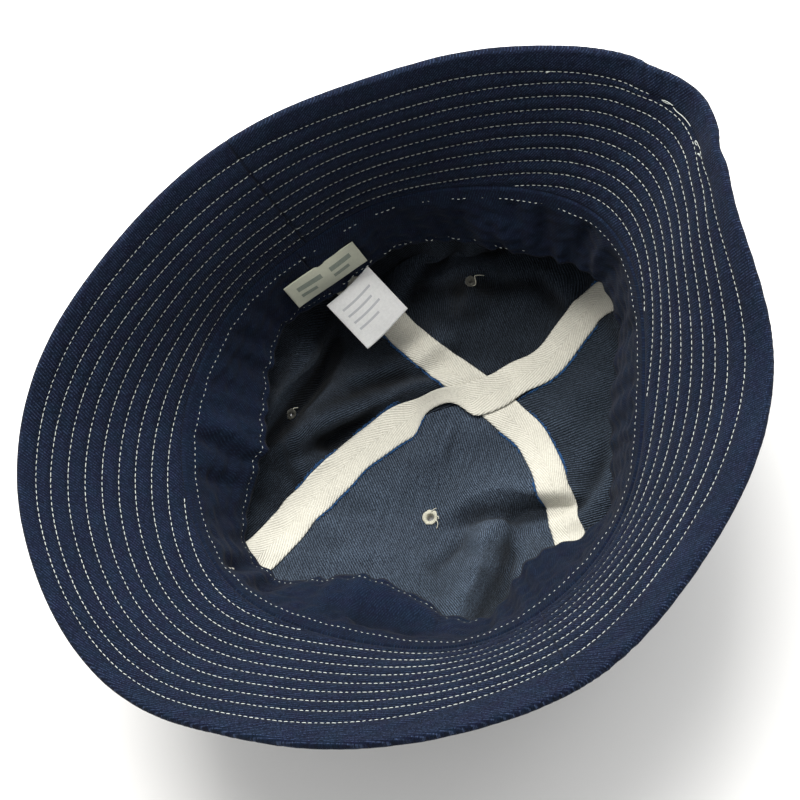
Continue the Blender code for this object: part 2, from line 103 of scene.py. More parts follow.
CrownRow = namedtuple(
    "CrownRow", "azimuth in_high in_half foot_in foot_rise foot_sway floor_sway floor_rise"
)
CROWN = (
    CrownRow(32, -0.10, -0.10, 0.12, 0.08, 0.02, 0.00, 0.02),
    CrownRow(80, -0.03, -0.04, 0.07, 0.07, 0.00, -0.02, 0.02),
    CrownRow(125, 0.01, 0.04, 0.22, 0.17, 0.05, 0.05, 0.05),
    CrownRow(170, 0.01, 0.05, 0.31, 0.18, 0.11, 0.17, 0.03),
    CrownRow(221, 0.02, 0.07, 0.33, 0.21, 0.06, 0.09, 0.07),
    CrownRow(272, 0.01, 0.06, 0.26, 0.13, 0.05, -0.05, 0.02),
    CrownRow(308, -0.07, -0.08, 0.14, 0.09, 0.00, 0.00, 0.02),
    CrownRow(345, -0.11, -0.09, 0.30, 0.07, -0.03, -0.02, 0.01),
)
SEAMS = (1, 3, 5, 7)
ROW_COUNT = len(CROWN)
STATIONS = (0.0, 0.11, 0.22, 0.45, 0.73, 1.0)
HIGH_SHARE = 0.75
HALF_SHARE = 0.50
CROSSING_X = 0.226
CROSSING_Y = 0.054
REST_FLAT = 0.045
REST_FREE = 0.20

# Soft folds in the crown, seen from above, in shares of OPENING_RADIUS from the opening's centre,
# and their height as a share of SEAM_HEIGHT.

Fold = namedtuple("Fold", "x y heading length width rise")
FOLDS = (
    Fold(-0.06, 0.06, 165, 0.28, 0.10, 0.085),
    Fold(-0.02, -0.13, 205, 0.16, 0.08, -0.060),
    Fold(-0.13, -0.47, 250, 0.24, 0.12, 0.070),
    Fold(0.46, -0.42, 300, 0.22, 0.12, 0.060),
    Fold(-0.28, 0.50, 160, 0.30, 0.12, 0.080),
    Fold(0.18, 0.46, 10, 0.16, 0.09, 0.055),
    Fold(0.51, 0.43, 55, 0.18, 0.14, 0.150),
)

# The vent of each gore. place: in rows of CROWN. way: share of the way from seam to crossing.
# bore and reach: the inner and the outer radius of the thread round it. The last field: how bright the
# thread is painted, with painted shade on the first two vents, whose thread lies in shade.

Vent = namedtuple("Vent", "place way bore reach clean")
VENTS = (
    Vent(0.25, 0.61, 0.0005, 0.0022, 0.20),
    Vent(2.22, 0.46, 0.0006, 0.0022, 0.14),
    Vent(3.83, 0.63, 0.0016, 0.0032, 1.0),
    Vent(6.00, 0.38, 0.0016, 0.0032, 1.0),
)

# The tapes, each along two opposite rows of SEAMS. layer: how many tapes it crosses over.

Tape = namedtuple("Tape", "name first last layer")
TAPES = (Tape("seam_tape_lower", 0, 2, 0), Tape("seam_tape_upper", 1, 3, 1))
TAPE_ENDS = (0.045, 1.0)

# The labels. drop: where the top edge lies on the sweatband, from 0 at the seam to 1 at its free
# edge. off: how far it stands in from the band. lean: degrees by which the label leans in. sag: how
# far its middle bellies out. turn: degrees by which it is turned in its own plane.

Label = namedtuple("Label", "name slot azimuth drop off width length lean sag turn")
LABELS = (
    Label("woven_label", "woven_label", 81.5, 0.33, 0.0, 0.0340, 0.0130, 24, 0.0012, 0),
    Label("care_label", "satin_label", 79, 1.0, 0.0004, 0.0240, 0.0240, 62, 0.0016, 9),
)

# Stitching of the brim: a spiral of rows and one outer ring. One row of the table for each 30
# degrees of azimuth, in shares of the brim's width. base: where the spiral's first turn would
# start. pitch: from one row to the next. ring: the outer ring.

StitchRow = namedtuple("StitchRow", "base pitch ring")
STITCH_ROWS = (
    StitchRow(0.122, 0.0906, 0.840),
    StitchRow(0.018, 0.0937, 0.841),
    StitchRow(-0.011, 0.0961, 0.844),
    StitchRow(-0.005, 0.0947, 0.867),
    StitchRow(-0.047, 0.1020, 0.877),
    StitchRow(-0.004, 0.1020, 0.896),
    StitchRow(0.070, 0.0910, 0.887),
    StitchRow(-0.045, 0.0940, 0.831),
    StitchRow(-0.052, 0.0885, 0.759),
    StitchRow(-0.059, 0.0984, 0.767),
    StitchRow(-0.068, 0.1010, 0.793),
    StitchRow(0.031, 0.0929, 0.845),
)
SPIRAL_AZIMUTH = 150.0  # where the spiral's turns are counted from
SPIRAL_TURNS = (-0.50, 8.29)
RING_GAP = (-7.0, 5.0)  # the ring's thread is broken between these azimuths
HIDDEN_SHARE = 0.014  # rows closer to the seam than this lie under its fold

STITCH_PITCH = 0.00225
STITCH_LENGTH = 0.0020
STITCH_RADIUS = 0.00016
STITCH_SINK = 0.0002  # how much lower a stitch's ends lie than its middle
STITCH_LIFT = 0.00008  # how far its middle stands over its groove
SHORTEST_ROW = 40  # a stretch of a row with fewer of its path's points than this is left out
GROOVE_DEPTH = 0.00045
GROOVE_WIDTH = 0.0008
PUFF_HEIGHT = 0.00040
PUFF_REACH = 0.0022

# Stitching of the sweatband: a row under the seam and one along a part of the free edge.

BAND_STITCH_PITCH = 0.0024
BAND_STITCH_LENGTH = 0.0011
BAND_STITCH_RADIUS = 0.00014
BAND_STITCH_SINK = 0.0001
BAND_SEAM_ROW = 0.10  # in shares of the band's height, from the seam
BAND_EDGE_ROW = 0.0022  # metres from the free edge
BAND_EDGE_SPAN = (18.0, 238.0)  # azimuths between which the edge row shows

# The brim's two halves meet at these azimuths, and the first one shows as a groove.

BRIM_JOINS = (80.0, 257.0)
JOIN_DEPTH = 0.0006
JOIN_WIDTH = 0.0009

# The sweatband's ends meet at this azimuth, behind the woven label.

BAND_JOIN = 84.0

# Weave

WARP_PITCH = 0.00028
WEFT_PITCH = 0.00040
RIB_PITCH = 0.00095  # of the herringbone tape


# Curves through tables

def through_ring(values, turns):
    """Closed cubic B-spline through evenly spaced values, read at turns of 0 to 1."""
    values = np.asarray(values, float)
    count = len(values)
    waves = 2 * math.pi * np.arange(count) / count
    controls = np.fft.ifft(np.fft.fft(values) / ((4 + 2 * np.cos(waves)) / 6)).real
    along = np.asarray(turns, float) * count
    first = np.floor(along).astype(int)
    t = along - first
    weights = (
        (1 - t) ** 3,
        3 * t**3 - 6 * t**2 + 4,
        -3 * t**3 + 3 * t**2 + 3 * t + 1,
        t**3,
    )
    return sum(w * controls[(first + i - 1) % count] for i, w in enumerate(weights)) / 6


def through_stations(knots, values, at):
    """Natural cubic through values at the knots, read at every at in 0 to 1."""
    knots = np.asarray(knots)
    steps = np.diff(knots)
    count = len(knots)
    matrix = np.eye(count)
    right = np.zeros((count,) + values.shape[1:])
    jumps = np.diff(values, axis=0) / steps.reshape((-1,) + (1,) * (values.ndim - 1))
    for i in range(1, count - 1):
        matrix[i, i - 1 : i + 2] = steps[i - 1], 2 * (steps[i - 1] + steps[i]), steps[i]
        right[i] = 6 * (jumps[i] - jumps[i - 1])
    bend = np.linalg.solve(matrix, right.reshape(count, -1)).reshape(right.shape)
    i = np.clip(np.searchsorted(knots, at, side="right") - 1, 0, count - 2)
    h = steps[i]
    a = (knots[i + 1] - at) / h
    b = 1 - a
    columns = tuple(np.indices(at.shape))
    low, high = (i,) + columns, (i + 1,) + columns
    curve = a * values[low] + b * values[high]
    return curve + ((a**3 - a) * bend[low] + (b**3 - b) * bend[high]) * h**2 / 6


def rim_value(name, azimuth):
    return through_ring([getattr(row, name) for row in RIM], np.asarray(azimuth) / 360)


def stitch_value(name, azimuth):
    return through_ring([getattr(row, name) for row in STITCH_ROWS], np.asarray(azimuth) / 360)


def opening_radius(azimuth):
    return OPENING_RADIUS * rim_value("opening", azimuth)


def level(azimuth, radius):
    """Level point: radius times the cosine and the sine of the azimuth, and z = 0."""
    angle = np.radians(azimuth)
    return np.stack([radius * np.cos(angle), radius * np.sin(angle), 0 * angle], -1)


def pair(first, second):
    """Two numbers as one vector, each spread over the other's shape."""
    return np.stack(np.broadcast_arrays(first, second), -1)


def unit(vectors):
    return vectors / np.linalg.norm(vectors, axis=-1, keepdims=True)


def outwards(azimuth):
    """Level unit vector square to the seam's curve, pointing away from the hollow."""
    step = 0.5
    ahead = level(azimuth + step, opening_radius(azimuth + step))
    behind = level(azimuth - step, opening_radius(azimuth - step))
    along = unit(ahead - behind)
    return np.stack([along[..., 1], -along[..., 0], 0 * along[..., 0]], -1)


def soft_step(low, high, at):
    """0 below low, 1 above high, and an S-curve, 3 t squared less 2 t cubed, between them."""
    t = np.clip((at - low) / (high - low), 0, 1)
    return t**2 * (3 - 2 * t)


def soft_noise(points, length, seed):
    """Smooth unevenness of about -1 to 1: a sum of sine waves near the given length.

    The directions, lengths and phases of the waves are drawn once from the seed.
    """
    draw = np.random.RandomState(seed)
    total = 0
    waves = 9
    for _ in range(waves):
        heading = draw.uniform(0, 2 * math.pi)
        wave = 2 * math.pi / (length * draw.uniform(0.7, 1.5))
        phase = draw.uniform(0, 2 * math.pi)
        total = total + np.sin(
            wave * (points[..., 0] * math.cos(heading) + points[..., 1] * math.sin(heading)) + phase
        )
    return total / math.sqrt(waves)


# Crown surface

CROSSING = np.array([CROSSING_X * OPENING_RADIUS, CROSSING_Y * OPENING_RADIUS, CLOTH])


def brim_slope(azimuth):
    """Slope of the brim where it leaves the seam, in radians."""
    roll = BRIM_ROLL / 2 * (1 - np.cos(np.radians(2 * np.asarray(azimuth))))
    return np.radians(rim_value("slope", azimuth) + roll / 2)


def crown_top(azimuth):
    """Height of the crown's upper edge, which stands just under the brim's sloping end."""
    return SEAM_HEIGHT - 1.5 * GAP - CLOTH / 2 / np.tan(brim_slope(azimuth))


def crown_value(name, place):
    return through_ring([getattr(row, name) for row in CROWN], np.asarray(place) / ROW_COUNT)


def crown_azimuth(place):
    """Azimuth of a place counted in rows of CROWN: an even turn plus what each row adds to it."""
    even = 360 / ROW_COUNT
    extra = [row.azimuth - even * i for i, row in enumerate(CROWN)]
    return even * np.asarray(place) + through_ring(extra, np.asarray(place) / ROW_COUNT)


def fold_height(point):
    """Height that the folds add over a level point, each one a long soft mound."""
    total = 0
    for fold in FOLDS:
        away = point[..., :2] / OPENING_RADIUS - (fold.x, fold.y)
        heading = math.radians(fold.heading)
        along = away[..., 0] * math.cos(heading) + away[..., 1] * math.sin(heading)
        across = away[..., 1] * math.cos(heading) - away[..., 0] * math.sin(heading)
        mound = np.exp(-((along / fold.length) ** 2) - (across / fold.width) ** 2)
        total = total + SEAM_HEIGHT * fold.rise * mound
    return total


def rested(height):
    """What the floor leaves of a height: low cloth lies flat, and higher cloth stays as it is."""
    share = (height / SEAM_HEIGHT - REST_FLAT) / (REST_FREE - REST_FLAT)
    ease = np.clip(share, 0, 1)
    return (height - CLOTH * height / SEAM_HEIGHT) * ease**2 * (3 - 2 * ease)


def crown_point(place, way):
    """Inner face of the crown: a smooth line through six stations from the seam to the crossing."""
    place, way = np.broadcast_arrays(np.asarray(place, float), np.asarray(way, float))
    one = np.ones_like(place)
    foot_in = crown_value("foot_in", place)
    foot_rise = crown_value("foot_rise", place)
    floor_rise = crown_value("floor_rise", place)
    in_high = crown_value("in_high", place)
    in_half = crown_value("in_half", place)
    inward = np.stack([0 * one, in_high, in_half, foot_in, (foot_in + 1) / 2, one])
    rise = np.stack([one, HIGH_SHARE * one, HALF_SHARE * one, foot_rise, floor_rise, 0 * one])
    foot_sway = crown_value("foot_sway", place)
    floor_sway = crown_value("floor_sway", place)
    sway = np.stack([0 * one, 0 * one, 0 * one, foot_sway, floor_sway, 0 * one])
    q = through_stations(STATIONS, inward, way)
    azimuth = crown_azimuth(place)
    seam = level(azimuth, opening_radius(azimuth))
    run = CROSSING * [1, 1, 0] - seam
    height = crown_top(azimuth) * through_stations(STATIONS, rise, way)
    aside = OPENING_RADIUS * through_stations(STATIONS, sway, way)
    left = unit(np.stack([-run[..., 1], run[..., 0], 0 * one], -1))
    point = seam + q[..., None] * run + aside[..., None] * left
    height = height + fold_height(point) * np.clip(way / STATIONS[2], 0, 1)
    point[..., 2] = CLOTH + rested(height)
    return point


def crown_normal(place, way):
    """Unit vector square to the crown's inner face, pointing into the hollow."""
    step_place, step_way = 0.02, 0.004
    across = crown_point(place + step_place, way) - crown_point(place - step_place, way)
    down = crown_point(place, way + step_way) - crown_point(place, way - step_way)
    return unit(np.cross(down, -across))


# Folds of the crown's cloth that the coarse form leaves out, in metres from the opening's centre.
# They stand along the cloth's own normal. right and left: their widths on both sides of the
# heading. bend: how far the line curves to the left by the end of its length.

Crease = namedtuple("Crease", "x y heading length right left rise bend")
CREASES = (
    Crease(-0.0300, -0.0515, 209, 0.024, 0.0120, 0.0035, 0.0095, -0.0022),
    Crease(-0.0266, -0.0576, 209, 0.022, 0.0035, 0.0045, -0.0045, -0.0022),
    Crease(0.0005, -0.0335, 140, 0.026, 0.0140, 0.0042, 0.0072, 0.0),
    Crease(-0.0043, -0.0392, 140, 0.024, 0.0035, 0.0035, -0.0040, 0.0),
    Crease(-0.0360, -0.0325, 179, 0.010, 0.0040, 0.0040, -0.0026, 0.0),
    Crease(-0.0023, 0.0010, 203, 0.009, 0.0018, 0.0018, -0.0012, 0.0),
    Crease(0.0290, -0.0585, 198, 0.020, 0.0045, 0.0100, 0.0060, -0.0050),
    Crease(-0.0345, 0.0635, 198, 0.028, 0.0130, 0.0032, 0.0100, -0.0020),
    Crease(-0.0326, 0.0578, 198, 0.024, 0.0030, 0.0040, -0.0045, -0.0020),
    Crease(-0.0150, 0.0385, 157, 0.034, 0.0036, 0.0042, 0.0060, 0.0040),
    Crease(-0.0045, 0.0460, 151, 0.013, 0.0080, 0.0032, 0.0035, 0.0),
    Crease(-0.0310, 0.0375, 172, 0.018, 0.0030, 0.0035, -0.0042, 0.0),
    Crease(-0.0480, 0.0375, 180, 0.007, 0.0050, 0.0050, 0.0035, 0.0),
    Crease(0.0460, 0.0660, 178, 0.022, 0.0130, 0.0040, 0.0080, 0.0030),
    Crease(0.0670, 0.0550, 173, 0.013, 0.0060, 0.0050, 0.0080, 0.0),
    Crease(0.0563, 0.0420, -44, 0.026, 0.0040, 0.0140, 0.0060, 0.0),
    Crease(0.0735, 0.0110, -91, 0.014, 0.0040, 0.0100, 0.0050, 0.0),
    Crease(0.0185, 0.0360, 176, 0.012, 0.0090, 0.0045, 0.0045, 0.0),
)


LYING_HEIGHT = 0.006  # cloth below this lies on the floor, at least in part
MOUND_HEIGHT = 0.0009


def crown_relief(point, way):
    """Height of creases and unevenness over the crown's face, none at the seam.

    Each crease is a bell curve across a line that curves with the square of the way along it.
    Unevenness fades out where the cloth lies on the floor, and soft mounds take its place.
    """
    lying = 1 - soft_step(CLOTH, LYING_HEIGHT, point[..., 2])
    uneven = 0.0004 * soft_noise(point, 0.020, 11) + 0.00015 * soft_noise(point, 0.009, 12)
    total = uneven * (1 - lying) + MOUND_HEIGHT * lying * (1 + 0.5 * soft_noise(point, 0.024, 13))
    for crease in CREASES:
        away = point[..., :2] - (crease.x, crease.y)
        heading = math.radians(crease.heading)
        along = (away[..., 0] * math.cos(heading) + away[..., 1] * math.sin(heading)) / crease.length
        across = away[..., 1] * math.cos(heading) - away[..., 0] * math.sin(heading)
        across = across - crease.bend * along**2
        across = across / np.where(across > 0, crease.left, crease.right)
        total = total + crease.rise * np.exp(-(along**4) - across**2)
    near = np.linalg.norm(point[..., :2] - CROSSING[:2], axis=-1)
    return total * soft_step(0, STATIONS[1], way) * soft_step(0.004, 0.014, near)


# Where the crown's cloth lies a little off its smooth form, in metres from the opening's centre:
# the middle of the shift, its reach and how far it goes.

Drift = namedtuple("Drift", "x y reach east north")
DRIFTS = (
    Drift(-0.0278, -0.0061, 0.016, -0.0006, -0.0055),
    Drift(0.080, -0.015, 0.022, 0.001, 0.015),
)


def drifted(point, way):
    """The point moved level by each drift, which fades as a bell curve and is none at the seam."""
    moved = point.copy()
    for drift in DRIFTS:
        away = np.linalg.norm(point[..., :2] - (drift.x, drift.y), axis=-1) / drift.reach
        share = np.exp(-(away**2)) * soft_step(0, STATIONS[2], way)
        moved[..., :2] += share[..., None] * [drift.east, drift.north]
    return moved


def crown_face(place, way, depth=0.0):
    """Point of the crown's cloth: depth 0 is the inner face, and CLOTH is the outer one.

    A fold that would go through the floor lies on it.
    """
    place, way = np.broadcast_arrays(np.asarray(place, float), np.asarray(way, float))
    point = crown_point(place, way)
    relief = crown_relief(point, way) - depth
    point = drifted(point, way) + relief[..., None] * crown_normal(place, way)
    point[..., 2] = np.maximum(point[..., 2], CLOTH - depth)
    return point


def on_plane(place, way):
    """Plane coordinates whose pole is the crossing: 1 - way from it, turned by the place."""
    turn = 2 * math.pi * np.asarray(place) / ROW_COUNT
    return pair((1 - way) * np.cos(turn), (1 - way) * np.sin(turn))


def face_on_plane(plane, depth=0.0):
    """Point of the crown's cloth at these plane coordinates, this deep in it."""
    turn = np.arctan2(plane[..., 1], plane[..., 0]) / (2 * math.pi)
    way = np.clip(1 - np.linalg.norm(plane, axis=-1), 0.0, 0.9999)
    return crown_face(turn * ROW_COUNT, way, depth)


def on_crown(targets, normals, plane):
    """Where lines through the targets along the normals meet the crown's inner face.

    From the given plane coordinates, Newton's rule brings each point of the face under its target.
    """
    helper = np.where(np.abs(normals[..., 2:]) > 0.9, [1.0, 0, 0], [0, 0, 1.0])
    first = unit(np.cross(normals, helper))
    second = np.cross(normals, first)
    plane = np.broadcast_to(plane, targets.shape[:-1] + (2,))

    def miss(at):
        gap = face_on_plane(at) - targets
        return pair((gap * first).sum(-1), (gap * second).sum(-1))

    step = 1e-4
    for _ in range(7):
        here = miss(plane)
        by_first = (miss(plane + [step, 0]) - here) / step
        by_second = (miss(plane + [0, step]) - here) / step
        area = by_first[..., 0] * by_second[..., 1] - by_first[..., 1] * by_second[..., 0]
        area = np.where(np.abs(area) < 1e-9, 1e-9, area)
        move_first = (here[..., 0] * by_second[..., 1] - here[..., 1] * by_second[..., 0]) / area
        move_second = (by_first[..., 0] * here[..., 1] - by_first[..., 1] * here[..., 0]) / area
        plane = plane - np.clip(pair(move_first, move_second), -0.08, 0.08)
    return face_on_plane(plane)


# Sweatband surface

def place_of_azimuth(azimuth):
    """The place in rows of CROWN that has this azimuth."""
    places = np.linspace(-ROW_COUNT, 2 * ROW_COUNT, 60 * ROW_COUNT)
    return np.interp(azimuth, crown_azimuth(places), places)


def crown_inset(azimuth, rise):
    """How far the crown's wall has come in from the seam at this share of its height."""
    place = place_of_azimuth(azimuth)
    seam = level(azimuth, opening_radius(azimuth))
    reach = np.linalg.norm(CROSSING[:2] - seam[..., :2], axis=-1)
    insets = (crown_value("in_high", place), crown_value("in_half", place))
    upper = (1 - rise) / (1 - HIGH_SHARE)
    lower = (HIGH_SHARE - rise) / (HIGH_SHARE - HALF_SHARE)
    inset = np.where(upper < 1, upper * insets[0], insets[0] + lower * (insets[1] - insets[0]))
    return inset * reach


def band_point(azimuth, drop, depth):
    """A point of the sweatband, which hangs from the seam and leans in from the crown's wall.

    drop is 0 at the seam and 1 at the free edge, depth is 0 on the face towards the crown and
    grows into the hollow.
    """
    azimuth, drop = np.broadcast_arrays(np.asarray(azimuth, float), np.asarray(drop, float))
    lean = rim_value("band_lean", azimuth)
    fall = BAND_HEIGHT * np.sqrt(1 - lean**2) * drop
    wall = crown_inset(azimuth, 1 - fall / SEAM_HEIGHT)
    clear = CLOTH_SEAT + TAPE_THICKNESS + GAP
    inward = clear + depth + np.maximum(wall, 0) + lean * BAND_HEIGHT * drop
    point = level(azimuth, opening_radius(azimuth)) - inward[..., None] * outwards(azimuth)
    point[..., 2] = SEAM_HEIGHT - GAP - fall
    return point


# Bends of the sweatband. azimuth and drop: its middle. length: its reach along, in degrees.
# width: its reach across, as a share of the band's height. slant: degrees along for a full drop.
# rise: metres into the hollow.

BAND_TUCK = 0.0016  # how far its upper edge turns out and up against the brim's inner end
BAND_TUCKED = 0.14  # share of its height that the turn takes
BAND_ROW_DEPTH = 0.00035  # depth of the groove under the edge row

BandBend = namedtuple("BandBend", "azimuth drop length width slant rise")
BAND_BENDS = (
    BandBend(142, 0.55, 2.2, 0.45, 6, -0.0030),
    BandBend(138, 0.60, 2.6, 0.40, 6, 0.0022),
    BandBend(150, 0.45, 2.0, 0.35, 4, -0.0020),
    BandBend(172, 0.55, 2.0, 0.35, 0, -0.0026),
    BandBend(177, 0.60, 2.0, 0.35, 0, 0.0020),
    BandBend(182, 0.66, 2.2, 0.34, 0, -0.0032),
    BandBend(187, 0.60, 2.2, 0.35, 0, 0.0020),
    BandBend(213, 0.42, 13.0, 0.16, 0, -0.0034),
    BandBend(213, 0.78, 15.0, 0.16, 0, 0.0026),
    BandBend(28, 0.60, 8.0, 0.30, 0, 0.0034),
    BandBend(16, 0.50, 2.0, 0.45, 3, -0.0016),
    BandBend(9, 0.50, 2.0, 0.45, 3, 0.0012),
    BandBend(4, 0.50, 1.8, 0.45, 3, -0.0017),
    BandBend(-2, 0.50, 2.0, 0.45, 3, 0.0012),
    BandBend(-8, 0.50, 1.8, 0.45, 3, -0.0013),
)


def band_relief(azimuth, drop):
    """How far the sweatband's cloth bellies into the hollow: soft puffs, and each bend a mound."""
    along = np.radians(azimuth) * OPENING_RADIUS
    spot = pair(along, drop * BAND_HEIGHT)
    total = 0.0007 * soft_noise(spot * [1, 0.35], 0.013, 21) + 0.0003 * soft_noise(spot, 0.006, 22)
    for bend in BAND_BENDS:
        away = (azimuth - bend.azimuth + 180) % 360 - 180 - bend.slant * (drop - bend.drop)
        total = total + bend.rise * np.exp(
            -((away / bend.length) ** 2) - ((drop - bend.drop) / bend.width) ** 2
        )
    row = BAND_ROW_DEPTH * np.exp(-(((1 - drop) * BAND_HEIGHT - BAND_EDGE_ROW) / GROOVE_WIDTH) ** 2)
    return total * soft_step(0, 0.25, drop) - row


def band_face(azimuth, drop, depth):
    """A point of the sweatband with its bends, moved level and square to the seam."""
    tuck = BAND_TUCK * (1 - soft_step(0, BAND_TUCKED, drop))
    relief = band_relief(azimuth, drop) - tuck
    point = band_point(azimuth, drop, depth) - relief[..., None] * outwards(azimuth)
    point[..., 2] += tuck * 0.8
    return point


# Brim surface

# Local waves of the brim's edge. width: degrees. out and up: metres at the edge.

EdgeWave = namedtuple("EdgeWave", "azimuth width out up")
EDGE_WAVES = (
    EdgeWave(-10.5, 3.0, -0.0016, 0.0010),
    EdgeWave(-1.0, 4.0, 0.0014, -0.0008),
    EdgeWave(6.5, 2.0, -0.0012, 0.0006),
)

# Puckers: fine ripples across the rows. width: degrees each way. slant: millimetres along for
# each millimetre out.

Pucker = namedtuple("Pucker", "azimuth width height slant")
PUCKERS = (
    Pucker(6, 9, 0.00034, -0.25),
    Pucker(155, 16, 0.00016, -0.2),
    Pucker(205, 14, 0.00012, 0.3),
    Pucker(262, 9, 0.00020, 0.2),
    Pucker(320, 14, 0.00014, 0.4),
)
PUCKER_LENGTH = 0.0052


def brim_point(azimuth, share):
    """Middle of the brim's thickness: straight lines of slope that leave the seam and roll out.

    The slope falls evenly by the roll, so its sine and cosine are summed over short steps.
    """
    azimuth, share = np.broadcast_arrays(np.asarray(azimuth, float), np.asarray(share, float))
    out = outwards(azimuth)
    around = np.stack([-out[..., 1], out[..., 0], 0 * out[..., 0]], -1)
    sweep = np.radians(rim_value("sweep", azimuth))[..., None]
    level_run = out * np.cos(sweep) + around * np.sin(sweep)
    start = brim_slope(azimuth)
    roll = 2 * (start - np.radians(rim_value("slope", azimuth)))
    steps = 24
    forward = 0
    upward = 0
    for step in range(steps):
        angle = start - roll * share * (step + 0.5) / steps
        forward = forward + np.cos(angle) * share / steps
        upward = upward + np.sin(angle) * share / steps
    point = level(azimuth, opening_radius(azimuth)) + out * CLOTH / 2
    point = point + BRIM_WIDTH * forward[..., None] * level_run
    point[..., 2] = SEAM_HEIGHT + BRIM_WIDTH * upward
    for wave in EDGE_WAVES:
        away = (azimuth - wave.azimuth + 180) % 360 - 180
        mound = np.exp(-((away / wave.width) ** 2)) * share**3
        point = point + (wave.out * mound)[..., None] * level_run
        point[..., 2] += wave.up * mound
    return point


def brim_normal(azimuth, share):
    """Unit vector square to the brim, pointing up and into the hollow."""
    step_azimuth, step_share = 0.5, 0.01
    around = brim_point(azimuth + step_azimuth, share) - brim_point(azimuth - step_azimuth, share)
    out = brim_point(azimuth, share + step_share) - brim_point(azimuth, share - step_share)
    return unit(np.cross(out, around))


def spiral_turn(azimuth):
    """How far round from the spiral's first azimuth this one lies, 0 to 1."""
    return ((np.asarray(azimuth) - SPIRAL_AZIMUTH) / 360) % 1


def brim_relief(azimuth, share, side):
    """Height of the brim's face over its smooth form: puffs between the rows, a groove at each.

    With p the place counted in rows, a puff is the square of the sine of pi p, and a groove is a
    bell curve over the distance to the nearest row. Ripples run across the puffs.
    """
    base, pitch = stitch_value("base", azimuth), stitch_value("pitch", azimuth)
    ring = stitch_value("ring", azimuth)
    turn = spiral_turn(azimuth)
    count = (share - base) / pitch - turn
    lowest = np.ceil(SPIRAL_TURNS[0] - turn)
    highest = np.floor(SPIRAL_TURNS[1] - turn)
    nearest = np.clip(np.round(count), lowest, highest)
    to_row = np.abs(count - nearest) * pitch * BRIM_WIDTH
    to_ring = np.abs(share - ring) * BRIM_WIDTH
    to_any = np.minimum(to_row, to_ring)
    groove = np.exp(-((to_any / GROOVE_WIDTH) ** 2))
    puff = 1 - np.exp(-((to_any / PUFF_REACH) ** 2))
    along = np.radians(azimuth) * (OPENING_RADIUS + BRIM_WIDTH * share)
    spot = pair(along, share * BRIM_WIDTH)
    wander = soft_noise(spot, 0.018, 31 + side)
    ripple_height = 0.00005
    slant = 0
    for pucker in PUCKERS:
        near = np.exp(-((((azimuth - pucker.azimuth + 180) % 360 - 180) / pucker.width) ** 2))
        ripple_height = ripple_height + pucker.height * near
        slant = slant + pucker.slant * near
    phase = (along + slant * share * BRIM_WIDTH) / PUCKER_LENGTH + 0.35 * wander
    ripple = ripple_height * np.sin(2 * math.pi * phase) * puff
    height = PUFF_HEIGHT * puff * (1 + 0.25 * wander) - GROOVE_DEPTH * groove + ripple
    away = np.abs((azimuth - BRIM_JOINS[0] + 180) % 360 - 180)
    gap = np.radians(away) * (OPENING_RADIUS + BRIM_WIDTH * share)
    join = np.exp(-((gap / JOIN_WIDTH) ** 2))
    return (height - JOIN_DEPTH * join) * soft_step(0, 0.035, share)


def brim_face(azimuth, share, side):
    """Point of the brim's upper (side 1) or lower (side -1) face.

    Near the edge both faces close to a half circle.
    """
    half = BRIM_THICKNESS / 2
    past = np.clip((share * BRIM_WIDTH - (BRIM_WIDTH - half)) / half, 0, 1)
    roundness = np.sqrt(np.maximum(1 - past**2, 0.0))
    offset = side * (half * roundness + brim_relief(azimuth, share, side) * roundness)
    return brim_point(azimuth, share) + offset[..., None] * brim_normal(azimuth, share)


# Meshes

def grid_quads(rows, columns, start=0, close_rows=False, close_columns=False):
    """Quads of a grid whose point (row, column) is number start + row * columns + column."""
    row, column = np.meshgrid(
        np.arange(rows if close_rows else rows - 1),
        np.arange(columns if close_columns else columns - 1),
        indexing="ij",
    )
    ahead, beside = (row + 1) % rows, (column + 1) % columns
    here, next_row = row * columns, ahead * columns
    corners = (here + column, here + beside, next_row + beside, next_row + column)
    return start + np.stack(corners, -1).reshape(-1, 4)


def make_piece(name, points, faces, materials, uv=None, values=None, second=None, sharp=0):
    """An object at the origin from points and blocks of faces, each block with one corner count.

    values: a number for each point, kept as the attribute relief. second: which faces take the
    second material. sharp: how many faces at the end of the list are flat.
    """
    mesh = bpy.data.meshes.new(name)
    points = np.asarray(points).reshape(-1, 3) - SHIFT
    corners = np.concatenate([block.ravel() for block in faces])
    counts = np.concatenate([np.full(len(block), block.shape[1]) for block in faces])
    starts = np.concatenate([[0], np.cumsum(counts)[:-1]])
    mesh.vertices.add(len(points))
    mesh.vertices.foreach_set("co", points.ravel())
    mesh.loops.add(len(corners))
    mesh.loops.foreach_set("vertex_index", corners.astype(np.int32))
    mesh.polygons.add(len(counts))
    mesh.polygons.foreach_set("loop_start", starts.astype(np.int32))
    mesh.polygons.foreach_set("use_smooth", np.arange(len(counts)) < len(counts) - sharp)
    for finish in materials:
        mesh.materials.append(finish)
    if second is not None:
        mesh.polygons.foreach_set("material_index", second.astype(np.int32))
    mesh.update(calc_edges=True)
    if uv is not None:
        mesh.uv_layers.new(name="pattern").data.foreach_set("uv", uv.reshape(-1, 2)[corners].ravel())
    if values is not None:
        relief = mesh.attributes.new("relief", "FLOAT", "POINT")
        relief.data.foreach_set("value", np.asarray(values, float).ravel())
    mesh.validate()
    made = bpy.data.objects.new(name, mesh)
    bpy.context.scene.collection.objects.link(made)
    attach(made, "root")
    return made


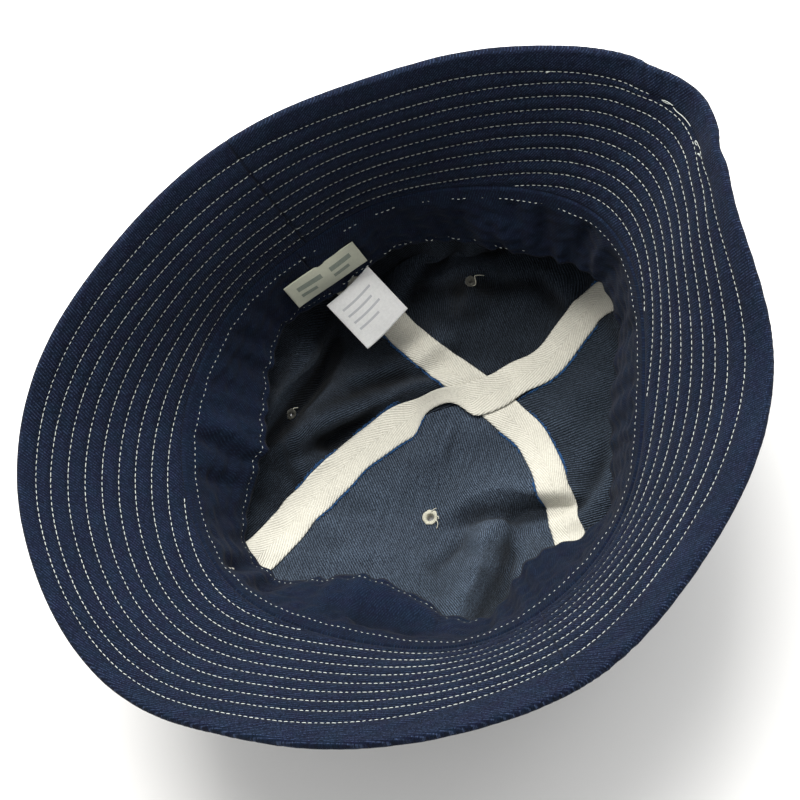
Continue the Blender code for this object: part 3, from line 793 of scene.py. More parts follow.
def slab(name, front, back, materials, uv, values=None):
    """A sheet between two grids of points of one shape, closed round its edge.

    The front's faces are seen with rows going down and columns to the right, the back's are turned
    over, and the wall joins both borders. The back and the wall take the last material.
    """
    rows, columns = front.shape[:2]
    count = rows * columns
    front_faces = grid_quads(rows, columns)
    back_faces = count + front_faces[:, ::-1]
    border = np.concatenate(
        [
            np.arange(columns),
            np.arange(2, rows + 1) * columns - 1,
            count - 1 - np.arange(1, columns),
            (rows - 1 - np.arange(1, rows - 1)) * columns,
        ]
    )
    after = np.roll(border, -1)
    wall = np.stack([after, border, count + border, count + after], -1)
    faces = np.concatenate([front_faces, back_faces, wall])
    second = np.arange(len(faces)) >= len(front_faces)
    both = None if values is None else np.concatenate([v.reshape(-1) for v in values])
    return make_piece(
        name, np.concatenate([front.reshape(-1, 3), back.reshape(-1, 3)]), [faces], materials,
        uv=np.concatenate([uv.reshape(-1, 2)] * 2), values=both,
        second=second if len(materials) > 1 else None, sharp=len(wall),
    )


def turned(flat, degrees):
    """Flat pattern turned by this many degrees, counter-clockwise."""
    angle = math.radians(degrees)
    return np.stack(
        [
            flat[..., 0] * math.cos(angle) - flat[..., 1] * math.sin(angle),
            flat[..., 0] * math.sin(angle) + flat[..., 1] * math.cos(angle),
        ],
        -1,
    )


def frames_along(points, normals):
    """Along, across and up at each point of a path, square to one another."""
    along = unit(np.gradient(points, axis=0))
    across = unit(np.cross(normals, along))
    return along, across, np.cross(along, across)


def smoothed(values, times):
    """Each row of an array blended with the rows before and after it, this many times."""
    for _ in range(times):
        padded = np.concatenate([values[:1], values, values[-1:]])
        values = (padded[:-2] + 2 * values + padded[2:]) / 4
    return values


def resampled(points, pitch):
    """The numbers, as fractions, of points that lie at even distances along a path."""
    steps = np.linalg.norm(np.diff(points, axis=0), axis=-1)
    way = np.concatenate([[0], np.cumsum(steps)])
    count = max(int(way[-1] / pitch), 1)
    return np.interp(np.linspace(0, way[-1], count + 1), way, np.arange(len(points)))


def read_at(values, numbers):
    """Rows of an array read at fractional numbers."""
    low = np.clip(np.floor(numbers).astype(int), 0, len(values) - 2)
    share = (numbers - low)[:, None]
    return values[low] * (1 - share) + values[low + 1] * share


STITCH_SECTION = 6
STITCH_RINGS = ((-0.5, 0.35), (-0.32, 0.9), (0.0, 1.0), (0.32, 0.9), (0.5, 0.35))


def stitch_points(points, normals, pitch, length, radius, sink, seed):
    """Stitches along a path, each one a bead of five rings of six points that dips at both ends.

    A stitch's middle stands at the path, its ends lie lower by sink, and each is turned and
    scaled a little by chance.
    """
    numbers = resampled(points, pitch)
    numbers = (numbers[:-1] + numbers[1:]) / 2
    along, across, up = frames_along(points, normals)
    middle, along, across, up = (read_at(v, numbers) for v in (points, along, across, up))
    draw = np.random.RandomState(seed)
    count = len(middle)
    yaw = np.radians(draw.normal(0, 5, count))[:, None]
    straight = along
    along = straight * np.cos(yaw) + across * np.sin(yaw)
    across = across * np.cos(yaw) - straight * np.sin(yaw)
    size = draw.uniform(0.85, 1.12, count)[:, None]
    place, width = np.array(STITCH_RINGS).T
    angle = 2 * math.pi * np.arange(STITCH_SECTION) / STITCH_SECTION
    forward = (place[:, None] * length + 0 * angle)[None] * size[..., None]
    aside = radius * width[:, None] * np.cos(angle)[None] * 1.1
    height = radius * width[:, None] * np.sin(angle) - sink * (2 * place[:, None]) ** 2
    return (
        middle[:, None, None]
        + forward[..., None] * along[:, None, None]
        + aside[None, ..., None] * across[:, None, None]
        + height[None, ..., None] * up[:, None, None]
    )


def stitching(name, rows, finish):
    """One piece from blocks of stitches (count, ring, section, 3), each bead closed at its ends."""
    beads = np.concatenate(rows)
    count, rings, section = beads.shape[:3]
    starts = np.arange(count) * rings * section
    sides = grid_quads(rings, section, 0, False, True)
    ends = np.stack([np.arange(section), (rings - 1) * section + np.arange(section)[::-1]])
    blocks = [(starts[:, None, None] + block).reshape(-1, block.shape[1]) for block in (sides, ends)]
    make_piece(name, beads, blocks, [finish])


# Where the hat stands: its origin is under the middle of the brim's outline, as the frame has it.

edge = brim_point(np.linspace(0, 360, 721)[:, None], np.array([0.9, 1.0])).reshape(-1, 3)
SHIFT = (edge.min(0) + edge.max(0)) / 2 - np.mean(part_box("brim"), axis=0)
SHIFT[2] = 0


# Shader maths

class Socket:
    """A socket of a material's nodes, on which arithmetic adds Math nodes."""

    def __init__(self, shop, link):
        self.shop = shop
        self.link = link

    def math(self, operation, *others):
        values = {0: self}
        values.update({i: other for i, other in enumerate(others, start=1)})
        return self.shop.node("ShaderNodeMath", {"operation": operation}, values)

    def __add__(self, other):
        return self.math("ADD", other)

    def __sub__(self, other):
        return self.math("SUBTRACT", other)

    def __mul__(self, other):
        return self.math("MULTIPLY", other)

    def __truediv__(self, other):
        return self.math("DIVIDE", other)

    def __rsub__(self, other):
        return self.shop.node("ShaderNodeMath", {"operation": "SUBTRACT"}, {0: other, 1: self})

    def __abs__(self):
        return self.math("ABSOLUTE")

    def __mod__(self, other):
        return self.math("FLOORED_MODULO", other)

    def __lt__(self, other):
        return self.math("LESS_THAN", other)

    def __gt__(self, other):
        return self.math("GREATER_THAN", other)

    __radd__ = __add__
    __rmul__ = __mul__


class Finish:
    """A material in the making, with one method for every kind of node."""

    def __init__(self, name):
        self.material = bpy.data.materials.new(name)
        self.material.use_nodes = True
        self.tree = self.material.node_tree
        self.shader = self.tree.nodes["Principled BSDF"]

    def node(self, kind, settings=None, values=None, output=0):
        """A node of this kind: its settings first, then its sockets' values or links."""
        made = self.tree.nodes.new(kind)
        for key, value in (settings or {}).items():
            setattr(made, key, value)
        for key, value in (values or {}).items():
            self.put(made.inputs[key], value)
        return Socket(self, made.outputs[output])

    def put(self, socket, value):
        if isinstance(value, Socket):
            self.tree.links.new(value.link, socket)
        elif isinstance(value, tuple) and socket.type == "RGBA":
            socket.default_value = (*value, 1)
        else:
            socket.default_value = value

    def set(self, **values):
        """Sockets of the shader by name, with _ for a space."""
        for key, value in values.items():
            self.put(self.shader.inputs[key.replace("_", " ")], value)
        return self.material

    def mixed(self, share, first, second):
        """Mix of two colours, whose sockets are numbers 6, 7 and 2 of a Mix node."""
        return self.node("ShaderNodeMix", {"data_type": "RGBA"}, {0: share, 6: first, 7: second}, 2)

    def shaded(self, colour, brightness):
        """A colour times a brightness."""
        grey = self.node("ShaderNodeCombineXYZ", None, {0: brightness, 1: brightness, 2: brightness})
        return self.node("ShaderNodeVectorMath", {"operation": "MULTIPLY"}, {0: colour, 1: grey})

    def noise(self, vector, scale, detail=2.0, rough=0.5):
        """Noise of about 0 to 1 at this many waves a metre."""
        return self.node(
            "ShaderNodeTexNoise", None,
            {"Vector": vector, "Scale": scale, "Detail": detail, "Roughness": rough}, "Fac",
        )

    def random(self, first, second=0.0):
        """An even chance number of 0 to 1 for each pair of whole numbers."""
        vector = self.node("ShaderNodeCombineXYZ", None, {0: first, 1: second})
        flat = {"noise_dimensions": "2D"}
        return self.node("ShaderNodeTexWhiteNoise", flat, {"Vector": vector}, "Value")

    def bump(self, height, distance):
        return self.node("ShaderNodeBump", None, {"Distance": distance, "Height": height})

    def pattern(self):
        """The flat pattern's two coordinates, in metres."""
        flat = self.node("ShaderNodeUVMap", {"uv_map": "pattern"})
        return [self.node("ShaderNodeSeparateXYZ", None, {0: flat}, part) for part in (0, 1)]

    def place(self):
        return self.node("ShaderNodeTexCoord", None, None, "Object")

    def attribute(self, name):
        return self.node("ShaderNodeAttribute", {"attribute_name": name}, None, "Fac")


# Finishes

def denim(name, warp, weft, tints, weft_over, lines, speckle, relief_shade):
    """Three-and-one twill: the warp runs along the pattern's second coordinate.

    Yarn i of the warp and yarn j of the weft meet in a cell, and where i + j leaves 0 when divided
    by four the other yarn is on top. weft_over: 0 where the warp shows on most cells, 1 where the
    weft does. tints: two colours that clouds blend into the warp. lines and speckle: how much the
    diagonal lines and the chance of each cell change the brightness. relief_shade: painted shade and
    light, how much brighter the cloth is painted for each unit of the attribute relief, so grooves,
    valleys and shaded gores come out darker and puffs and crests lighter.
    """
    finish = Finish(name)
    u, v = finish.pattern()
    place = finish.place()
    sway = (finish.noise(place, 260.0) - 0.5) * 0.9
    across = u / WARP_PITCH + sway
    up = v / WEFT_PITCH + sway * 0.7
    warp_number, weft_number = across.math("FLOOR"), up.math("FLOOR")
    in_warp, in_weft = across - warp_number, up - weft_number
    crossed = (warp_number + weft_number) % 4.0
    cell_chance = finish.random(warp_number, weft_number)
    weft_top = (crossed < 0.5) * (0.35 + cell_chance * 0.65)
    if weft_over:
        weft_top = 1.0 - weft_top
    warp_chance = finish.random(warp_number)
    grain = finish.noise(place, 1900.0, 2.0, 0.7)
    cloud = finish.noise(place, 40.0, 4.0, 0.6)
    tint_share = finish.noise(place, 150.0, 3.0, 0.6)
    warp_round = 1.0 - (in_warp * 2.0 - 1.0).math("POWER", 2.0)
    weft_round = 1.0 - (in_weft * 2.0 - 1.0).math("POWER", 2.0)
    dyed = finish.mixed(((tint_share - 0.5) * 3.0 + 0.5).math("SMOOTH_MIN", 1.0, 0.1), *tints)
    dyed = finish.mixed(0.5, warp, dyed)
    chance = 1.0 + (cell_chance - 0.5) * speckle
    chance = chance + (grain - 0.5) * (speckle * 2.4) + (warp_chance - 0.5) * 0.25
    colour = finish.mixed(weft_top, dyed, weft)
    # The valley between two diagonal lines lies in its own shade.
    line = ((across + up) * (math.pi / 2)).math("SINE")
    light = (0.72 + cloud * 0.56) * (1.0 + lines * line) * chance.math("MAXIMUM", 0.15)
    # Painted shade and light: the attribute relief makes grooves, fold valleys and shaded gores darker and
    # puffs and crests lighter.
    light = light * (1.0 + finish.attribute("relief") * relief_shade)
    height = line * (lines * 2.0) + warp_round * 0.2 + weft_round * 0.2 + grain * 0.6
    return finish.set(
        Base_Color=finish.shaded(colour, light), Roughness=0.9, Specular_IOR_Level=0.08,
        Sheen_Weight=0.03, Sheen_Roughness=0.5, Normal=finish.bump(height, 0.00012),
    )


def herringbone(name, colour, shade):
    """Tape whose ribs lean one way on each half and meet in a V along its middle."""
    finish = Finish(name)
    u, v = finish.pattern()
    place = finish.place()
    lean = math.radians(24)
    rib = (abs(u) * math.cos(lean) + v * math.sin(lean)) / RIB_PITCH
    rib = rib + (finish.noise(place, 300.0) - 0.5) * 0.35
    wave = (rib * (2 * math.pi)).math("SINE") * 0.5 + 0.5
    weft = (v / 0.00042 + (finish.noise(place, 200.0) - 0.5) * 0.5).math("FLOOR")
    chance = finish.random(weft, rib.math("FLOOR"))
    cloud = finish.noise(place, 60.0, 3.0)
    spine = 1.0 - (abs(u) < 0.0003) * 0.06
    grain = finish.noise(place, 1500.0, 2.0)
    tone = finish.mixed(wave * 0.75 + 0.25, shade, colour)
    tone = finish.shaded(tone, (0.72 + chance * 0.12 + cloud * 0.26 + grain * 0.20) * spine)
    height = wave * 1.0 + chance * 0.35 + grain * 0.3
    return finish.set(
        Base_Color=tone, Roughness=0.9, Specular_IOR_Level=0.2, Sheen_Weight=0.2,
        Normal=finish.bump(height, 0.00015),
    )


def thread(name, colour, contrast=0.35):
    """Cotton thread: fine fibres, and some lengths darker than others."""
    finish = Finish(name)
    place = finish.place()
    fibre = finish.noise(place, 2600.0, 2.0)
    length = finish.noise(place, 180.0, 2.0)
    tone = finish.shaded(colour, 1.0 - contrast + fibre * contrast + length * contrast)
    return finish.set(
        Base_Color=tone, Roughness=0.8, Specular_IOR_Level=0.25, Sheen_Weight=0.2,
        Normal=finish.bump(fibre, 0.00008),
    )


def label_cloth(name, colour, bar, label, bars, roughness, sheen, weave):
    """Label with plain bars, each one a rectangle (left, right, top, bottom) in shares of its size."""
    finish = Finish(name)
    u, v = finish.pattern()
    place = finish.place()
    x, y = u / label.width + 0.5, v / label.length
    ink = 0.0
    for left, right, top, bottom in bars:
        inside = (x > left) * (x < right) * (y > top) * (y < bottom)
        ink = inside + ink
    ink = ink.math("MINIMUM", 1.0)
    rib = (v / weave * (2 * math.pi)).math("SINE")
    cross = (u / weave * (2 * math.pi)).math("SINE")
    speckle = finish.noise(place, 900.0, 2.0)
    tone = finish.mixed(ink * (0.55 + speckle * 0.4), colour, bar)
    tone = finish.shaded(tone, 0.84 + speckle * 0.20 + rib * 0.04 + cross * 0.04)
    return finish.set(
        Base_Color=tone, Roughness=roughness, Specular_IOR_Level=0.4, Sheen_Weight=sheen,
        Normal=finish.bump(rib * cross + speckle * 0.5, 0.00006),
    )


def plain(name, colour, roughness):
    finish = Finish(name)
    return finish.set(Base_Color=colour, Roughness=roughness)


INDIGO_TINTS = ((0.0040, 0.0036, 0.0125), (0.0024, 0.0078, 0.0150))
DARK_DENIM = denim(
    "dark_denim", (0.0023, 0.0048, 0.0145), (0.018, 0.027, 0.052), INDIGO_TINTS, 0, 0.04, 0.85, 0.18
)
BAND_DENIM = denim(
    "band_denim", (0.0028, 0.0056, 0.0170), (0.010, 0.019, 0.037), INDIGO_TINTS, 0, 0.0, 0.60, 0.06
)
CROWN_DENIM = denim(
    "crown_denim", (0.0036, 0.0058, 0.0110), (0.038, 0.051, 0.070),
    ((0.0040, 0.0048, 0.0092), (0.0034, 0.0066, 0.0115)), 1, 0.80, 0.95, 0.72
)
TAPE_CLOTH = herringbone("herringbone_tape", (0.56, 0.545, 0.475), (0.42, 0.40, 0.33))
STITCH_THREAD = thread("stitch_thread", (0.46, 0.49, 0.46), 0.2)
EYELET_COLOUR = (0.44, 0.43, 0.35)
EYELET_THREAD = thread("eyelet_thread", EYELET_COLOUR)
FRAY_THREAD = thread("fray_thread", (0.004, 0.060, 0.180))
WOVEN_BARS = (
    (0.12, 0.46, 0.26, 0.44),
    (0.12, 0.34, 0.58, 0.72),
    (0.58, 0.88, 0.26, 0.44),
    (0.58, 0.80, 0.58, 0.72),
)
CARE_BARS = (
    (0.15, 0.80, 0.22, 0.26),
    (0.15, 0.70, 0.36, 0.40),
    (0.15, 0.76, 0.50, 0.54),
    (0.15, 0.60, 0.64, 0.68),
)
LABEL_FINISHES = {
    "woven_label": label_cloth(
        "woven_label", (0.50, 0.51, 0.40), (0.10, 0.14, 0.12), LABELS[0], WOVEN_BARS, 0.8, 0.2, 0.0005
    ),
    "care_label": label_cloth(
        "satin_label", (0.86, 0.86, 0.84), (0.42, 0.43, 0.46), LABELS[1], CARE_BARS, 0.42, 0.0, 0.0003
    ),
}


# Brim

BRIM_COLUMNS = 300
EDGE_SHARE = 0.5 * BRIM_THICKNESS / BRIM_WIDTH  # share of the width that the rounded edge takes
BRIM_SHARES = np.concatenate(
    [np.linspace(0, 1 - EDGE_SHARE, 86), 1 - EDGE_SHARE * np.array([0.6, 0.3, 0.12, 0.03])]
)
PATTERN_RADIUS = 0.142  # inner radius of a half brim cut flat
GRAIN = {"brim_right": 25.0, "brim_left": -22.0}  # degrees by which each half's weave is turned


def make_half_brim(name, first, last):
    """Half the brim, from one join to the other: two faces with a rounded edge.

    Its flat pattern is a ring segment: the way along the seam over PATTERN_RADIUS is its angle.
    """
    azimuth = np.linspace(first, last, BRIM_COLUMNS + 1)[None, :]
    share = BRIM_SHARES[:, None]
    upper = brim_face(azimuth, share, 1)
    lower = brim_face(azimuth, share, -1)
    angle = np.radians(azimuth - (first + last) / 2) * OPENING_RADIUS / PATTERN_RADIUS
    radius = PATTERN_RADIUS + share * BRIM_WIDTH
    flat = turned(pair(radius * np.sin(angle), radius * np.cos(angle)), GRAIN[name])
    # Painted shade: the relief, as shares of a puff's height, paints the grooves darker and the puffs
    # lighter through the attribute relief.
    relief = [brim_relief(azimuth, share, side) / PUFF_HEIGHT for side in (1, -1)]
    made = slab(name, upper, lower, [DARK_DENIM], flat, relief)
    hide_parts("brim")


def stitched_rows():
    """The spiral's path and the outer ring's, as azimuths and shares."""
    turns = np.linspace(*SPIRAL_TURNS, 9000)
    azimuth = SPIRAL_AZIMUTH + 360 * turns
    share = stitch_value("base", azimuth) + stitch_value("pitch", azimuth) * turns
    ring = np.linspace(RING_GAP[1], 360 + RING_GAP[0], 1400)
    return [(azimuth, share), (ring, stitch_value("ring", ring))]


def make_brim_stitching(name, side):
    """The brim's stitches on one face, each standing in its row's groove."""
    blocks = []
    for number, (azimuth, share) in enumerate(stitched_rows()):
        normals = side * brim_normal(azimuth, share)
        points = brim_face(azimuth, share, side) + STITCH_LIFT * normals
        seen = share > HIDDEN_SHARE
        ends = np.flatnonzero(np.diff(np.concatenate([[0], seen.astype(int), [0]])))
        for start, stop in ends.reshape(-1, 2):
            if stop - start > SHORTEST_ROW:
                run = slice(start, stop)
                blocks.append(
                    stitch_points(
                        points[run], normals[run], STITCH_PITCH, STITCH_LENGTH, STITCH_RADIUS,
                        STITCH_SINK, 100 * number + start % 97,
                    )
                )
    stitching(name, blocks, STITCH_THREAD)


# Crown

GORE_PAINTED_SHADE = (-0.70, -0.74, 0.40, -0.30)  # painted light and shade: how much lighter or darker each gore's cloth is painted as a whole
CREST_WEAR_AND_LIGHT = 0.4  # how much lighter a fold's crest is painted, partly wear and partly painted light, where a valley's painted shade is 1
# Limits of the painted shade and light on the crown's cloth.
PAINTED_SHADE_RANGE = (-1.2, 0.8)
FOLD_SHADE_HEIGHT = 0.0020  # difference in height from the cloth around that paints a fold's valley fully dark with painted shade and its crest as light as it gets
GORE_COLUMNS = 150
GORE_ROWS = 160


def gore_places(first, last, ways):
    """Places across a gore, on a grid (way, place), that leave half a gap at each of its seams."""
    shares = np.linspace(0, 1, GORE_COLUMNS + 1)
    step = 0.05
    margins = []
    for edge in (first, last):
        near = crown_point(edge - step, ways)
        far = crown_point(edge + step, ways)
        speed = np.linalg.norm(far - near, axis=-1) / (2 * step)
        margins.append(GAP / 2 / speed)
    low, high = first + margins[0], last - margins[1]
    return low[:, None] + (high - low)[:, None] * shares


def lengths_along(points, axis):
    """Way from the first point, summed over the steps along one axis of a grid."""
    steps = np.linalg.norm(np.diff(points, axis=axis), axis=-1)
    return np.concatenate([np.zeros_like(np.take(steps, [0], axis)), np.cumsum(steps, axis)], axis)


def vent_frame(vent):
    """A vent's plane coordinates, the folded cloth's slope along both of them, and its normal."""
    centre = on_plane(vent.place, vent.way)
    near = 0.015
    east = (face_on_plane(centre + [near, 0]) - face_on_plane(centre - [near, 0])) / (2 * near)
    north = (face_on_plane(centre + [0, near]) - face_on_plane(centre - [0, near])) / (2 * near)
    return centre, east, north, unit(np.cross(east, north))


VENT_SIDES = 32  # sides of the round cutter


def cut_vent(gore, vent):
    """Cuts a round hole through the cloth, square to it, and applies the cut."""
    centre = crown_face(vent.place, vent.way) - SHIFT
    normal = vent_frame(vent)[3]
    side = unit(np.cross(normal, [0.3, 0.2, 1.0]))
    other = np.cross(normal, side)
    angle = 2 * math.pi * np.arange(VENT_SIDES) / VENT_SIDES
    ring = VENT_RADIUS * (np.cos(angle)[:, None] * side + np.sin(angle)[:, None] * other)
    heights = np.array([-2.5, 1.5])[:, None, None] * CLOTH * normal
    points = centre + ring[None] + heights
    mesh = bpy.data.meshes.new("vent_cutter")
    low_end, high_end = np.arange(VENT_SIDES)[::-1], np.arange(VENT_SIDES) + VENT_SIDES
    faces = grid_quads(2, VENT_SIDES, 0, False, True).tolist() + [low_end.tolist(), high_end.tolist()]
    mesh.from_pydata(points.reshape(-1, 3).tolist(), [], faces)
    cutter = bpy.data.objects.new("vent_cutter", mesh)
    bpy.context.scene.collection.objects.link(cutter)
    cut = gore.modifiers.new("vent", "BOOLEAN")
    cut.operation = "DIFFERENCE"
    cut.solver = "EXACT"
    cut.object = cutter
    bpy.context.view_layer.update()
    finished = bpy.data.meshes.new_from_object(gore.evaluated_get(bpy.context.evaluated_depsgraph_get()))
    gore.modifiers.clear()
    old = gore.data
    gore.data = finished
    bpy.data.meshes.remove(old)
    bpy.data.objects.remove(cutter)


def make_gore(number, first, last, vent):
    """One gore: the crown's inner face and a face CLOTH behind it, with its vent cut through."""
    ways = np.linspace(0, 1 - BUTTON_RADIUS / OPENING_RADIUS, GORE_ROWS + 1)
    places = gore_places(first, last, ways)
    grid_ways = np.broadcast_to(ways[:, None], places.shape)
    inner = crown_face(places, grid_ways)
    outer = crown_face(places, grid_ways, CLOTH)
    outer[0] = inner[0] + CLOTH * outwards(crown_azimuth(places[0]))
    middle = inner.shape[1] // 2
    along = lengths_along(inner[:, middle], 0)
    across = lengths_along(inner, 1)
    reach = along[-1] + BUTTON_RADIUS - along[:, None]
    angle = (across - across[:, middle : middle + 1]) / reach
    flat = pair(reach * np.sin(angle), -reach * np.cos(angle))
    # Painted shade and light: the cloth is painted darker where its relief lies under the relief around
    # it, as at the foot of a fold, and a little lighter on a crest, and each gore lighter or darker as a
    # whole. The sum goes into the attribute relief.
    relief = crown_relief(crown_point(places, grid_ways), grid_ways)
    around = smoothed(smoothed(relief, 50).T, 50).T
    painted_shade = np.clip((relief - around) / FOLD_SHADE_HEIGHT, -1, CREST_WEAR_AND_LIGHT) + GORE_PAINTED_SHADE[number - 1]
    painted_shade = np.clip(painted_shade, *PAINTED_SHADE_RANGE)
    made = slab(
        f"crown_gore_{number}_cloth", inner, outer, [CROWN_DENIM, DARK_DENIM], flat,
        [painted_shade, 0 * painted_shade],
    )
    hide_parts(f"crown_gore_{number}")
    cut_vent(made, vent)
    cloth_area(inner)


def cloth_area(grid):
    """Area of a grid of points, each cell as two triangles."""
    a, b = grid[:-1, :-1] - grid[1:, 1:], grid[1:, :-1] - grid[:-1, 1:]
    return float(np.linalg.norm(np.cross(a, b), axis=-1).sum() / 2)


def make_eyelet(number, vent):
    """Thread wound over the edge of a vent: an arch on each face of the cloth and a barrel between.

    Each point lies on the cloth at its spoke and radius, raised by the arch, and the winding is a
    cosine of the spoke's angle. The cloth's slopes at the vent give the plane coordinates of a spot
    that lies so far along two square directions of the cloth.
    """
    centre, east, north, normal = vent_frame(vent)
    side = unit(east)
    other = np.cross(normal, side)
    winds = 34
    angle = 2 * math.pi * np.arange(winds * 5) / (winds * 5)
    barrel = VENT_RADIUS - GAP
    arch = np.linspace(0, math.pi, 11)
    middle, half = (vent.reach + vent.bore) / 2, (vent.reach - vent.bore) / 2
    seat, rise = 0.0002, 0.0007
    # Radius, face of the cloth (1 inner, -1 outer) and height over it.
    section = [(middle + half * math.cos(a), 1, seat + rise * math.sin(a) ** 0.7) for a in arch[:-1]]
    section += [(middle + half * math.cos(a), -1, seat + rise * math.sin(a) ** 0.7) for a in arch[::-1]]
    section += [(barrel, -1, seat), (barrel, 1, seat)]
    radius, face, height = np.array(section).T
    wind = 1 + 0.22 * np.cos(winds * angle)[:, None] * (height > seat * 1.01)
    jitter = 1 + 0.05 * soft_noise(np.stack([np.cos(angle), np.sin(angle)], -1), 0.9, 40 + number)[:, None]
    reach = radius[None] * np.where(radius > barrel, jitter, 1)
    north_part = reach * np.sin(angle)[:, None] / (north @ other)
    east_part = (reach * np.cos(angle)[:, None] - north_part * (north @ side)) / (east @ side)
    spot = centre + pair(east_part, north_part)
    seats = np.where(face[:, None] > 0, face_on_plane(spot), face_on_plane(spot, CLOTH))
    points = seats + (face * height * wind)[..., None] * normal
    faces = grid_quads(*points.shape[:2], 0, True, True)
    # Painted shade: the thread's colour is dimmed by the vent's last field, darker for the vents in shade.
    finish = thread(f"vent_thread_{number}", tuple(vent.clean * np.array(EYELET_COLOUR)))
    made = make_piece(f"vent_eyelet_{number}_thread", points, [faces[:, ::-1]], [finish])
    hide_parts(f"vent_eyelet_{number}")


# Sweatband

def make_band():
    """The sweatband, open along one line where its ends meet, with its pattern unrolled."""
    azimuth = np.linspace(BAND_JOIN, BAND_JOIN + 360, 541)[None, :]
    drop = np.linspace(0, 1, 31)[:, None]
    back = band_face(azimuth, drop, 0)
    front = band_face(azimuth, drop, CLOTH)
    flat = pair(np.radians(azimuth) * OPENING_RADIUS, -drop * BAND_HEIGHT)
    # Painted shade: the bends' relief paints the sweatband darker in its valleys and lighter on its mounds
    # through the attribute relief.
    relief = [band_relief(azimuth, drop) / PUFF_HEIGHT * 0.6] * 2
    made = slab("sweatband_cloth", front, back, [BAND_DENIM], flat, relief)
    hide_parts("sweatband")


def make_band_stitching():
    """Two rows of small stitches: all round under the seam, and along a part of the free edge."""
    rows = ((BAND_SEAM_ROW, (0, 360), 501), (1 - BAND_EDGE_ROW / BAND_HEIGHT, BAND_EDGE_SPAN, 502))
    blocks = []
    for drop, span, seed in rows:
        azimuth = np.linspace(*span, 1500)
        points = band_face(azimuth, drop, CLOTH - 0.00002)
        blocks.append(
            stitch_points(
                points, -outwards(azimuth), BAND_STITCH_PITCH, BAND_STITCH_LENGTH, BAND_STITCH_RADIUS,
                BAND_STITCH_SINK, seed,
            )
        )
    stitching("sweatband_stitching", blocks, STITCH_THREAD)


# Seam tapes

# Where a tape is gathered to a part of its width. ways: middle and reach, in metres along the tape
# from the crossing, minus towards its first end. side: the edge that stays.

Tuck = namedtuple("Tuck", "name middle reach side share")
TUCKS = (
    Tuck("seam_tape_upper", -0.020, 0.011, 1, 0.42),
    Tuck("seam_tape_upper", 0.050, 0.040, 0, 0.90),
    Tuck("seam_tape_lower", -0.050, 0.040, 0, 0.84),
    Tuck("seam_tape_lower", 0.050, 0.045, 0, 0.86),
)


def tape_path(first, last):
    """Plane coordinates of points down one seam, over the crossing and up the opposite seam."""
    ways = np.linspace(*TAPE_ENDS, 220)[:-1]
    return np.concatenate([on_plane(first, ways), [[0, 0]], on_plane(last, ways[::-1])])


def make_tape(tape):
    """A tape laid on the crown along two seams, lifted where it crosses another tape."""
    plane = tape_path(SEAMS[tape.first], SEAMS[tape.last])
    plane = read_at(plane, resampled(face_on_plane(plane), 0.0008))
    points = face_on_plane(plane)
    near = 1e-3
    east = face_on_plane(plane + [near, 0]) - face_on_plane(plane - [near, 0])
    north = face_on_plane(plane + [0, near]) - face_on_plane(plane - [0, near])
    normals = unit(smoothed(unit(np.cross(east, north)), 8))
    along, across, up = frames_along(smoothed(points, 3), normals)
    far = np.linalg.norm((points - CROSSING)[:, :2], axis=-1)
    lift = tape.layer * (TAPE_THICKNESS + CLOTH_SEAT) * (1 - soft_step(0.9, 1.9, far / TAPE_WIDTH))
    offsets = np.linspace(-0.5, 0.5, 19)[:, None] * TAPE_WIDTH
    way = lengths_along(points, 0)
    from_crossing = way - way[np.argmin(far)]
    spread = offsets + 0 * way
    for tuck in TUCKS:
        if tuck.name == tape.name:
            taken = np.exp(-(((from_crossing - tuck.middle) / tuck.reach) ** 4)) * (1 - tuck.share)
            edge = tuck.side * TAPE_WIDTH / 2
            spread = edge + (spread - edge) * (1 - taken)
    spread = spread + 0.0003 * soft_noise(pair(way, 0.0), 0.014, 60 + tape.layer)
    targets = points[None] + spread[..., None] * across[None]
    grid_up = np.broadcast_to(up, targets.shape)
    seats = on_crown(targets, grid_up, plane[None])
    back = seats + (CLOTH_SEAT * 0.5 + lift)[None, :, None] * grid_up
    thick = TAPE_THICKNESS * (1 - 0.6 * np.abs(2 * offsets / TAPE_WIDTH) ** 6)
    front = back + thick[..., None] * grid_up
    flat = pair(offsets, way[None])
    made = slab(
        f"{tape.name}_cloth", front[::-1], back[::-1], [TAPE_CLOTH], flat[::-1]
    )
    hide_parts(tape.name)
    make_fray(tape, from_crossing, points, spread[[0, -1]], across, up, plane)


# Loose threads

# Stretches of a tape's edge where blue threads of the overlocked denim stand out. first, last:
# metres along the tape from the crossing, minus towards its first end. side: which edge.

Fray = namedtuple("Fray", "name first last side")
FRAYS = (
    Fray("seam_tape_upper", -0.094, -0.028, -1),
    Fray("seam_tape_upper", -0.088, -0.064, 1),
    Fray("seam_tape_upper", -0.056, -0.036, 1),
    Fray("seam_tape_upper", 0.012, 0.052, -1),
    Fray("seam_tape_upper", 0.062, 0.080, 1),
    Fray("seam_tape_lower", -0.052, -0.018, -1),
    Fray("seam_tape_lower", 0.014, 0.028, -1),
    Fray("seam_tape_lower", 0.018, 0.046, 1),
    Fray("seam_tape_lower", 0.046, 0.058, -1),
)
FRAY_STRANDS = 3600  # strands for each metre
FRAY_RADIUS = 0.00009

# Loose threads of the brim's outer ring, as azimuth, share and height in millimetres of the
# points that each passes, and of three vents, by their numbers in VENTS, as millimetres east,
# north and up from the vent.

